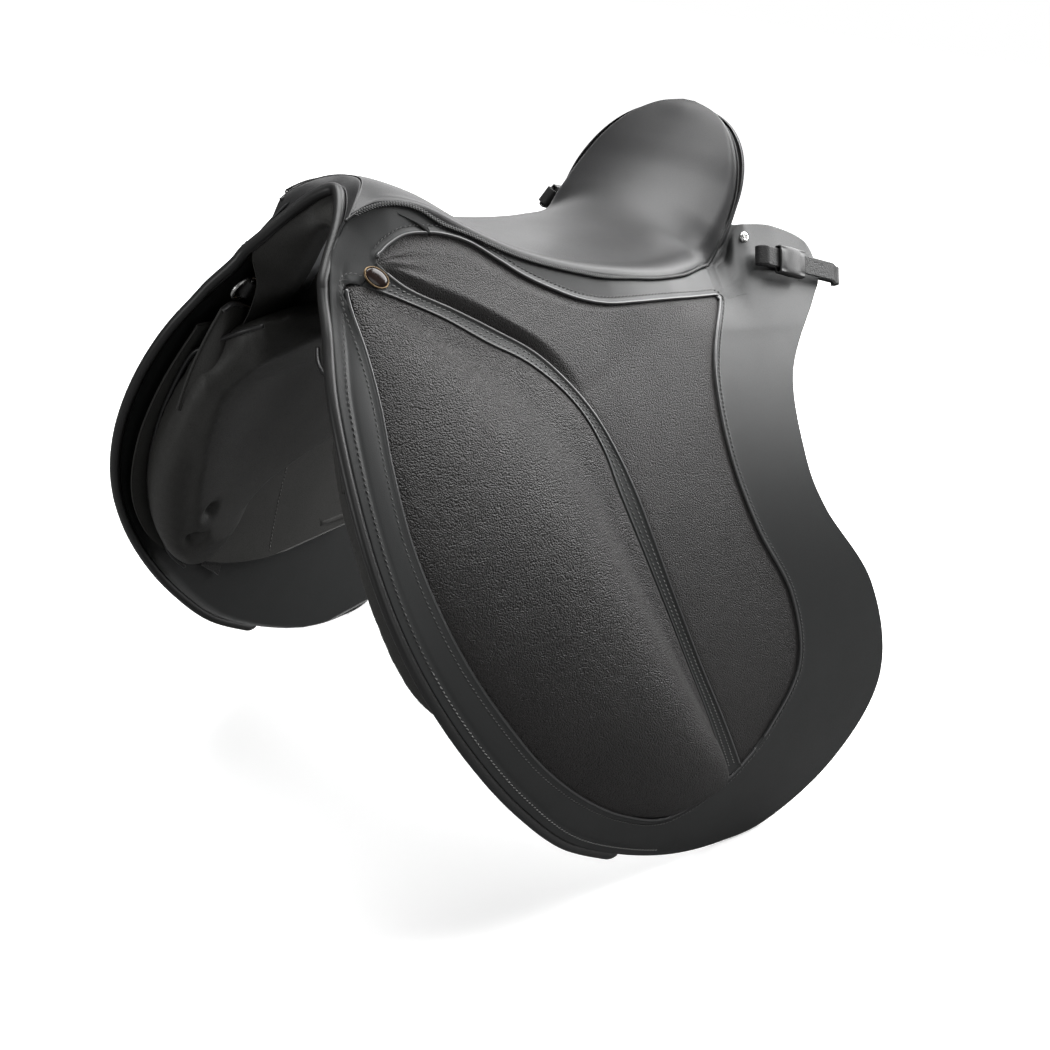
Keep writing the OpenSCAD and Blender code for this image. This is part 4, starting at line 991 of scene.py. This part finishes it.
STRAP_END, STRAP_OUT, STRAP_TURN = 112, 13.1, -9.5
origin, axes = local_frame(193, -84, 2.8)
origin = origin + tuck(200, -78) * DRAWN_IN * MM
axes = turned_about_out(axes, STRAP_TURN)
y = np.linspace(0, 1, 60)
under = np.stack([np.full(60, 1.1), STRAP_END - 106 * y], 1)
over = np.stack([STRAP_OUT - 5.2 * ease((y - 0.84) / 0.16), 6 + 106 * y], 1)
front_turn, rear_turn = arc(7.1, 6, 6.0, 180, 360, 24)[1:-1], arc(4.5, STRAP_END, 3.4, 0, 170, 14)[1:]
path = np.concatenate([under, front_turn, over, rear_turn])
drop = np.interp(lengths(path), [0, 100, 126, 250], [0, 0, 3, 3])
strap_loop = ribbon(path, 8.8, 2.2, origin, axes, 0.8, drop)


def rounded(c):
    """Square with round corners: the signed power 0.35 of an angle's cosine or sine c."""
    return np.sign(c) * np.abs(c) ** 0.35


a, q = np.linspace(0, 2 * np.pi, 56, endpoint=False), np.linspace(0, 1, 30)
ripple = 0.35 * np.sin(7 * a + 1)[None, :] * (bump(q, 0.1, 0.12) + bump(q, 0.9, 0.12))[:, None]
ripple = ripple + 0.7 * np.sin(np.pi * q)[:, None] ** 2
walls = []
for grow in (0.0, 1.0):
    rx, rz = 2.0 + 1.5 * grow + grow * ripple, 11.8 + 1.3 * grow + 0.5 * grow * ripple
    x, z = STRAP_OUT + rx * rounded(np.cos(a)), -4.2 + rz * rounded(np.sin(a))
    sleeve_y = np.broadcast_to((18 + 34 * q)[:, None], x.shape)
    walls.append(origin + np.stack([x, sleeve_y, z], -1) * MM @ axes.T)
keeper = (np.concatenate([walls[1], walls[0][::-1]]).reshape(-1, 3), quads(60, 56, True, True))
for side in SIDES:
    side_piece("ring", ring, NICKEL, "ring_body", side, ["d_ring"])
    side_piece("ring_fold", ring_tab, STRAP_LEATHER, "saddle", side, ["ring_tab"])
    side_piece("strap_loop", strap_loop, STRAP_LEATHER, "loop_body", side, ["rear_strap"])
    side_piece("keeper", keeper, TRIM_LEATHER, "keeper_body", side, ["strap_keeper"])
print("ring", len(ring[1]), "strap", len(strap_loop[1]), "keeper", len(keeper[1]), "faces")

# %% [markdown]
# ## Panels
# The two panels are wool-filled cushions. Each starts as a slightly thin closed skin between an
# outer face, which follows the tree and the sheet, and a bearing face below it. A short cloth run
# with air pressure then rounds it as filling does. The skin is refined, and two tufts pull crisp
# dimples into it. A bowed face with a piped upper edge closes the panel's front towards the ring.

# %% Panel forms
PANEL_TOP, FOLD_T, CHANNEL = -15.9, 45, 30
CHANNEL_Z = [[-250, -72], [-180, -61], [-100, -53], [0, -48], [100, -45], [240, -42]]
PANEL_S = [0, 0.2, 0.45, 0.7, 1]
PANEL_T = [100, 140, 175, 205, 235, 265, 295, 318]
PANEL_FRONT = [-238, -248, -256, -264, -270, -271, -268, -263, -255, -244, -227, -203, -174]
PANEL_REAR = [238, 242, 232, 205, 170, 148, 100, 40, -52, -92, -112, -132, -150]
PANEL_FULL = [0.3, 0.8, 1, 1, 1, 1.05, 1.1, 1.15, 1.2, 1.2, 1.15, 0.9, 0.4]


def channel_z(y):
    """Height of the channel's edge along the saddle."""
    c = np.array(CHANNEL_Z, float)
    return np.interp(y, c[:, 0], c[:, 1])


def panel_row(row, v, e):
    """One control row of the panel, e mm under its outer face: a bridge from the channel, then the sheet."""
    long = PANEL_REAR[row] - PANEL_FRONT[row]
    level = np.interp(row, [1, 3, 10, 12], [0.3, 1, 1, 0.3])
    back = 22 * level * (1 - np.clip(e / 34, 0, 1)) * np.clip(1 - v * long / 70, 0, 1) ** 2
    y = PANEL_FRONT[row] + long * v + back
    if row >= len(PANEL_S):
        return sheet(y, PANEL_T[row - len(PANEL_S)], PANEL_TOP - e) / MM
    s, f = PANEL_S[row], sheet(y, FOLD_T, PANEL_TOP) / MM
    a, b = np.stack([np.full_like(y, CHANNEL), channel_z(y)], 1), f[:, [0, 2]]
    span = np.linalg.norm(b - a, axis=1, keepdims=True)
    h = LEAN + CURL * FOLD_T - np.radians(12)
    ta, tb = span * [0.94, -0.34], 0.6 * span * [np.cos(h), -np.sin(h)]
    p = (a * (2 * s ** 3 - 3 * s * s + 1) + ta * (s ** 3 - 2 * s * s + s)
         + b * (3 * s * s - 2 * s ** 3) + tb * (s ** 3 - s * s))
    g = (a * (6 * s * s - 6 * s) + ta * (3 * s * s - 4 * s + 1)
         + b * (6 * s - 6 * s * s) + tb * (3 * s * s - 2 * s))
    g /= np.linalg.norm(g, axis=1, keepdims=True)
    return np.stack([p[:, 0] + g[:, 1] * e, y, p[:, 1] - g[:, 0] * e], 1)


def panel_grid(v, depth, n=71):
    """Smooth grid through the control rows, with depth(row, v) mm under the outer face."""
    rows = np.stack([panel_row(r, v, depth(r, v)) for r in range(len(PANEL_FRONT))])
    return along(rows.reshape(len(rows), -1), np.linspace(0, len(rows) - 1, n)).reshape(n, len(v), 3) * MM


def filling(row, v):
    """Thickness of the panel: a round nose in front, fuller at the knee roll, a longer nose behind."""
    long = PANEL_REAR[row] - PANEL_FRONT[row]
    front, rear = np.clip(v * long / 22, 0, 1), np.clip((1 - v) * long / min(60, 0.4 * long), 0, 1)
    knee = 15 * np.interp(row, [2, 5, 10, 12], [0, 1, 1, 0.2]) * bump(v * long, 30, 60)
    return 3 + (23.0 * PANEL_FULL[row] + knee) * np.sqrt(1 - (1 - front) ** 2) * np.sqrt(1 - (1 - rear) ** 2)


thickest = max(filling(r, np.linspace(0, 1, 50)).max() for r in range(len(PANEL_FRONT)))
print("panel of", len(PANEL_FRONT), "control rows, at most", round(thickest, 1), "mm thick")

# %% [markdown]
# ### Filling with air
# Wool pushes evenly outwards, and so does air pressure in a cloth run. The skin is first remeshed
# evenly, and no point may move more than a few millimetres, so that the panel keeps its fit.

# %% Cloth with air pressure
def points_of(mesh):
    """Places of a mesh's points, as rows."""
    flat = np.empty(len(mesh.vertices) * 3)
    mesh.vertices.foreach_get("co", flat)
    return flat.reshape(-1, 3)


def worked(obj):
    """The piece as its modifiers shape it."""
    return obj.evaluated_get(bpy.context.evaluated_depsgraph_get())


def apply_all(obj):
    """Make the worked mesh the piece's own."""
    obj.data = bpy.data.meshes.new_from_object(worked(obj))
    obj.modifiers.clear()


def inflate(obj, voxel, cap, force=4.0):
    """Remesh evenly, run cloth with air pressure for 20 frames without gravity, and keep each point
    within cap of its start."""
    scene = bpy.context.scene
    remesh = obj.modifiers.new("even", "REMESH")
    remesh.mode, remesh.voxel_size = "VOXEL", voxel
    apply_all(obj)
    start = points_of(obj.data)
    cloth = obj.modifiers.new("air", "CLOTH")
    cloth.settings.use_pressure = True
    cloth.settings.uniform_pressure_force = force
    cloth.settings.effector_weights.gravity = 0
    cloth.settings.quality = 4
    cloth.settings.tension_stiffness = cloth.settings.compression_stiffness = 12
    for k in range(1, 21):
        scene.frame_set(k)
    step = points_of(worked(obj).data) - start
    step *= np.minimum(1, cap / np.maximum(np.linalg.norm(step, axis=1, keepdims=True), 1e-9))
    obj.modifiers.clear()
    scene.frame_set(1)
    return start + step


def settle(obj, points):
    """Write points into the mesh, shade smooth, subdivide once, and give the points of that."""
    obj.data.vertices.foreach_set("co", points.ravel())
    obj.data.polygons.foreach_set("use_smooth", np.ones(len(obj.data.polygons), bool))
    obj.data.update()
    soft = obj.modifiers.new("soft", "SUBSURF")
    soft.levels = soft.render_levels = 1
    apply_all(obj)
    return points_of(obj.data)


# %% [markdown]
# ### Front faces, tufts and piping
# The last step puts the forms together: cushion, tufts, piping along the front edge, and the face.

# %% Panels with their faces
FACE_TOP = [[-247, -13, -19], [-234, -18, -19], [-196, 0, -20], [-154, 21, -24]]
FACE_LOW = [[-258, 84, -38], [-238, 86, -43], [-196, 88, -43], [-154, 92, -40]]


def panel_face(e):
    """Front of the panel above the cushion: from its piped top edge down, bowed, creased under the edge."""
    f, g = np.linspace(0, 1, 80)[:, None], np.linspace(0, 1, 60)[None, :]
    top, low = along(FACE_TOP, 3 * f[:, 0]), along(FACE_LOW, 3 * f[:, 0])
    p = top[:, None] * (1 - g[..., None]) + low[:, None] * g[..., None]
    crease = 0.45 * np.sin(30 * g + 9 * f) * bump(g, 0.17, 0.1) * bump(f, 0.42, 0.26)
    bow = 9 * np.sin(np.pi * g) * ease(f / 0.3)
    return sheet(p[..., 0] - 2 * np.sin(np.pi * g) * (1 - f), p[..., 1], p[..., 2] - bow - crease + e)


panel_v = np.unique(np.r_[0, 0.006, 0.015, 0.03, np.linspace(0.05, 0.95, 46), 0.97, 0.985, 0.994, 1])
DIMPLES = ((-197, 207), (-202, 241))
DIMPLE_DEEP, DIMPLE_WIDE, DIMPLE_REACH = 0.011, 0.0075, 0.022
edge_rows = np.stack([panel_row(r, np.array([0.0]), np.array([1.5]))[0] for r in range(13)])
panel_edge = tube(even(along(edge_rows, np.linspace(0, 12, 120)) * MM, 160), 1.9 * MM, 12)
face_edge = tube(even(sheet(*along(FACE_TOP, np.linspace(0, 2.6, 90)).T), 90), 1.9 * MM, 12)
cushion = skin(panel_grid(panel_v, lambda r, v: 0.0 * v), panel_grid(panel_v, filling))
panel_front = skin(panel_face(3.0), panel_face(0.0))
for side, sx in SIDES.items():
    panel = side_piece("panel_cushion", cushion, PANEL_TONE_AND_PAINTED_LIGHT, "saddle", side, ["panel"])
    points = inflate(panel, 0.005, 0.006)
    panel.data.materials.clear()
    panel.data.materials.append(PANEL_TONE_AND_PAINTED_LIGHT)
    points = settle(panel, points)
    for y, t in DIMPLES:
        out = (sheet(y, t, 1) - sheet(y, t, 0)) / MM * [sx, 1, 1]
        from_tuft = points - sheet(y, t, -58) * [sx, 1, 1]
        along_out = from_tuft @ out
        reach = np.linalg.norm(from_tuft - along_out[:, None] * out, axis=1)
        pulled = bump(reach, 0, DIMPLE_WIDE) * (np.abs(along_out) < DIMPLE_REACH)
        points = points + DIMPLE_DEEP * pulled[:, None] * out
    panel.data.vertices.foreach_set("co", points.ravel())
    panel.data.update()
    side_piece("panel_piping", panel_edge, TRIM_LEATHER, "saddle", side)
    side_piece("panel_face", panel_front, PANEL_TONE_AND_PAINTED_LIGHT, "saddle", side)
    side_piece("panel_face_piping", face_edge, LIP_PAINTED_HIGHLIGHT, "saddle", side)
    print("panel", side, len(panel.data.polygons), "faces")

# %% [markdown]
# ## Linings, sweat flaps and girth straps
# Under the flap lie the sweat flap, with its slot for the straps, and two girth straps with punched
# holes. A thin lining closes the arch and the channel between the panels. The holes are cut with a
# boolean, as a punch would cut them.

# %% Lining
def whole(rows):
    """Half rows from the middle out, with their mirror image in front of them."""
    return np.concatenate([rows[:, :0:-1] * [-1, 1, 1], rows], 1)


def lining_rows(e):
    """Control rows of the lining from the arch to the rear, e mm under its upper face, middle first."""
    edge = np.array([[0, -198.6, 30], [10.5, -203.5, 25], [20, -211.5, 15], [28, -224, 2.5], [33, -232, -8],
                     [38, -239, -18]])
    low = np.stack([sheet(-234, -46, -24), sheet(-230, -22, -28.5), sheet(-226, 4, -28.5)]) / MM
    rows = [np.concatenate([edge, low]) - [0, 0, e]]
    for y in (-206, -188, -168):
        side = sheet(y, np.array([-79, -57, -35, -14, 8]), -28.0 - e) / MM
        f = np.array([1, 0.75, 0.5, 0.25])[:, None]
        height = side[0, 2] + (11 - e - side[0, 2]) * np.sin(np.pi / 2 * f)
        bow = np.concatenate([side[0, 0] * (1 - f), np.full((4, 1), y), height], 1)
        rows.append(np.concatenate([bow, side]))
    for y, top in ((-128, -8), (-70, -30), (0, -40), (80, -40), (160, -37), (234, -34)):
        f, z = np.linspace(0, 1, 7) * np.pi / 2, channel_z(y) + 1.8
        tunnel = np.stack([29.4 * np.sin(f), np.full(7, y), z + (top - z) * np.cos(f) - e], 1)
        rows.append(np.concatenate([tunnel, [[31, y, z + 1 - e], [33, y, z + 2 - e]]]))
    return whole(np.stack(rows))


def lining_grid(e):
    """Lining rows smoothed along and across."""
    g = lining_rows(e)
    g = along(g.reshape(10, -1), np.linspace(0, 9, 100)).reshape(100, 17, 3)
    return along(g.transpose(1, 0, 2).reshape(17, -1), np.linspace(0, 16, 81)).reshape(81, 100, 3) * MM


lining = skin(lining_grid(0), lining_grid(1.8))
# The lining takes the paler panel leather, partly painted light for the shaded arch.
piece("arch_lining", lining, PANEL_TONE_AND_PAINTED_LIGHT, "saddle", ["gullet_lining"])
print("lining", len(lining[1]), "faces")

# %% [markdown]
# ### Sweat flaps and girth straps
# The sweat flap is a plain leather between two curves. Each strap is a band with a slanted tip, and
# its holes and the flap's slot are cut by the same helper.

# %% Sweat flaps and girth straps
def cut(obj, shape):
    """Take a closed shape away from a piece."""
    mesh = bpy.data.meshes.new("punch")
    mesh.from_pydata(np.asarray(shape[0]).tolist(), [], [list(f) for f in shape[1]])
    punch = bpy.data.objects.new("punch", mesh)
    bpy.context.scene.collection.objects.link(punch)
    tool = obj.modifiers.new("cut", "BOOLEAN")
    tool.object, tool.operation = punch, "DIFFERENCE"
    apply_all(obj)
    bpy.data.objects.remove(punch)
    bpy.data.meshes.remove(mesh)


SWEAT_FRONT = [[-258, 20], [-263, 90], [-262, 150], [-250, 210], [-222, 262], [-186, 297], [-150, 317],
               [-107, 337], [-50, 352], [17, 358]]
SWEAT_REAR = [[90, 357], [128, 335], [145, 280], [150, 200], [152, 110], [154, 30]]
sweat_t = np.r_[np.linspace(8, 330, 42), 338, 344, 349, 353, 356]
fine_front = along(SWEAT_FRONT, np.linspace(0, 9, 150))
fine_rear = along(SWEAT_REAR, np.linspace(0, 5, 90))[::-1]
sweat_a = np.stack([np.interp(sweat_t, fine_front[:, 1], fine_front[:, 0]), sweat_t], 1)
sweat_b = np.stack([np.interp(sweat_t, fine_rear[:, 1], fine_rear[:, 0]), sweat_t], 1)
sweat_yt, w_a, w_b = band(sweat_a, sweat_b, 24, (0, 0.3, 0.8, 1.5))
sweat_soft = np.minimum(round_off(w_a, 0.8), 1.2) + np.minimum(round_off(w_b, 0.8), 1.2)
BOX_FACES = [[0, 1, 3, 2], [4, 6, 7, 5], [0, 4, 5, 1], [2, 3, 7, 6], [0, 2, 6, 4], [1, 5, 7, 3]]


def box_shape(origin, axes, lo, hi):
    """Box between two corners of a local frame, in mm."""
    c = np.stack(np.meshgrid(*zip(lo, hi), indexing="ij"), -1).reshape(-1, 3)
    return origin + c * MM @ axes.T, BOX_FACES


BILLETS = {"front": ((-50, -12), (-126, 350)), "rear": ((50, -12), (28, 335))}


def billet_shape(a, b):
    """Girth strap between its sewn top and its tip, which is cut at a slant, with rounded edges."""
    a, b = np.array(a, float), np.array(b, float)
    d = (b - a) / np.linalg.norm(b - a)
    s = np.array([d[1], -d[0]])
    f = np.r_[np.linspace(0, 0.96, 60), np.linspace(0.965, 1, 12)][:, None]
    mid = a + d * (np.linalg.norm(b - a) * f - 14 * (1 - f))
    slant = 16 * ease((f - 0.9) / 0.1)
    yt, xa, xb = band(mid - s * 16 - d * slant, mid + s * 16, 7, (0, 0.3, 0.8, 1.5))
    soft = round_off(np.minimum(xa, xb), 1.0)
    return skin(on_side(yt, -7.35 - soft), on_side(yt, -10.65 + soft)), d, b


HOLES, FIRST_HOLE, HOLE_STEP = 6, 30, 25
sweat_form = skin(on_side(sweat_yt, -12.95 - sweat_soft), on_side(sweat_yt, -15.45))
origin, axes = local_frame(68, 342, -14)
slot = box_shape(origin, turned_about_out(axes, -4), (-6, -23, -2.6), (6, 23, 2.6))
row = np.stack([np.linspace(-37, -39, 40), np.linspace(225, 345, 40)], 1)
rail = seat(np.linspace(4, 7, 16), np.full(16, 0.82), 19.2, 0) + np.array([0.4, 0, 0]) * MM
web_t = np.array([2, -5, -12, -18, -25, -31, -38])
webs = []
for drop, w in ((0, 1.6), (1.6, 0.0)):
    low = sheet(rail[:, 1:2] / MM, web_t[None, :], -11.1 - drop)
    webs.append(np.concatenate([low, (rail + w * np.array([0.53, 0, 0.85]) * MM)[:, None]], 1))
for side, sx in SIDES.items():
    flip = np.array([sx, 1, 1])
    sweat = side_piece("sweat_leather", sweat_form, PANEL_TONE_AND_PAINTED_LIGHT, "saddle", side,
                       ["sweat_flap"])
    cut(sweat, (slot[0] * flip, slot[1]))
    side_piece("sweat_stitches", stitch_row(row, -15.55), PALE_THREAD, "saddle", side)
    for name, (top_at, tip_at) in BILLETS.items():
        shape, d, tip = billet_shape(top_at, tip_at)
        strap = side_piece(f"girth_strap_{name}", shape, STRAP_LEATHER, f"girth_{name}_body",
                           side, [f"billet_{name}"])
        for k in range(HOLES):
            y, t = tip - d * (FIRST_HOLE + HOLE_STEP * k)
            verts, faces = spun([[3, 0], [3, 10]], *local_frame(y, t, -14), 20)
            cut(strap, (verts * flip, faces))
    side_piece("girth_webbing", skin(*webs), WEBBING, "saddle", side, ["girth_web"])
print("sweat flap", len(sweat.data.polygons), "faces, holes in each strap", HOLES)

# %% [markdown]
# ## The frame that stays
# The tree, plates, springs, bars and rivets are right as solids. They keep their shapes and get
# wood, steel and brass.

# %% Materials for the solids that stay
INSIDE = {"tree_frame": PLY, "tree_point": PLY, "head_plate": STEEL, "gullet_plate": STEEL,
          "spring_steel": STEEL, "stirrup_bar": STEEL, "bar_catch": STEEL, "catch_pins": STEEL,
          "tree_rivets": BRASS}
kept = 0
for name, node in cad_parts.items():
    base = name[:-2] if name.endswith(("_l", "_r")) else name
    if base in INSIDE:
        node.data.materials.clear()
        node.data.materials.append(INSIDE[base])
        kept += 1
print("solids kept", kept)

# %% [markdown]
# ## Light and ground
# Five soft boxes stand round the saddle. The strongest is high at the rear and gives the long
# highlights on the seat and the cantle, one hangs above, and weaker ones light the back, the arch
# and the near side. The ground is nearly white to the eye and glows more with distance, so that a
# soft shadow shows and the rest is plain. To the leather it is grey, so that it stays dark below.

# %% Light and ground
def soft_box(name, place, aim, size, power):
    """Square area lamp that looks from its place to a point."""
    lamp = bpy.data.lights.new(name, "AREA")
    lamp.shape, lamp.size, lamp.energy = "SQUARE", size, power
    obj = bpy.data.objects.new(name, lamp)
    obj.location = place
    obj.rotation_euler = (Vector(aim) - Vector(place)).to_track_quat("-Z", "Y").to_euler()
    bpy.context.scene.collection.objects.link(obj)


LIGHTS = {"rear_light": ((0.7, 2.0, 1.5), (0.05, 0, -0.1), 2.4, 135),
          "top_light": ((-0.35, -0.1, 2.1), (0.0, 0.0, -0.1), 1.8, 80),
          "back_light": ((-1.7, 2.2, 1.0), (0.0, 0.05, 0.0), 2.2, 26),
          "arch_light": ((-0.15, -2.4, -0.2), (-0.05, 0, -0.15), 1.0, 11),
          "fill_light": ((2.2, -0.5, 0.3), (0, 0.05, -0.3), 1.6, 8)}
for name, (stand, aim, size, power) in LIGHTS.items():
    soft_box(name, stand, aim, size, power)

world = bpy.data.worlds.new("studio")
world.use_nodes = True
bpy.context.scene.world = world
tree = world.node_tree
rays = tree.nodes.new("ShaderNodeLightPath").outputs
seen = math_node(tree, "MAXIMUM", rays["Is Camera Ray"], rays["Is Transmission Ray"])
level = add_node(tree, "MapRange", To_Min=0.16, To_Max=1.0, Value=seen)
plug(tree, tree.nodes["Background"], Strength=level.outputs["Result"], Color=(1, 1, 1, 1))

SWEEP = 90
low_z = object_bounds()[0].z - 0.001
corners = [(-SWEEP, -SWEEP, low_z), (SWEEP, -SWEEP, low_z), (SWEEP, SWEEP, low_z), (-SWEEP, SWEEP, low_z)]
ground_mesh = bpy.data.meshes.new("ground")
ground_mesh.from_pydata(corners, [], [(0, 1, 2, 3)])
ground = bpy.data.objects.new("ground", ground_mesh)
bpy.context.scene.collection.objects.link(ground)
paper, tree, shader = new_material("paper")
eye = tree.nodes.new("ShaderNodeLightPath").outputs["Is Camera Ray"]
far = tree.nodes.new("ShaderNodeVectorMath")
far.operation = "LENGTH"
feed(tree, far.inputs[0], object_place(tree))
glow = add_node(tree, "MapRange", From_Min=0.75, From_Max=1.7, To_Min=0.3, To_Max=1.05,
                Value=far.outputs["Value"])
plug(tree, shader, Roughness=1.0, Specular_IOR_Level=0.0, Emission_Color=(1, 1, 1, 1),
     Emission_Strength=math_node(tree, "MULTIPLY", eye, glow.outputs["Result"]),
     Base_Color=two_tones(tree, (0.16, 0.16, 0.16), (0.95, 0.95, 0.95), eye))
ground_mesh.materials.append(paper)
bpy.context.scene.view_settings.view_transform = "Standard"
print("soft boxes", len(LIGHTS), "ground at", round(low_z, 4))
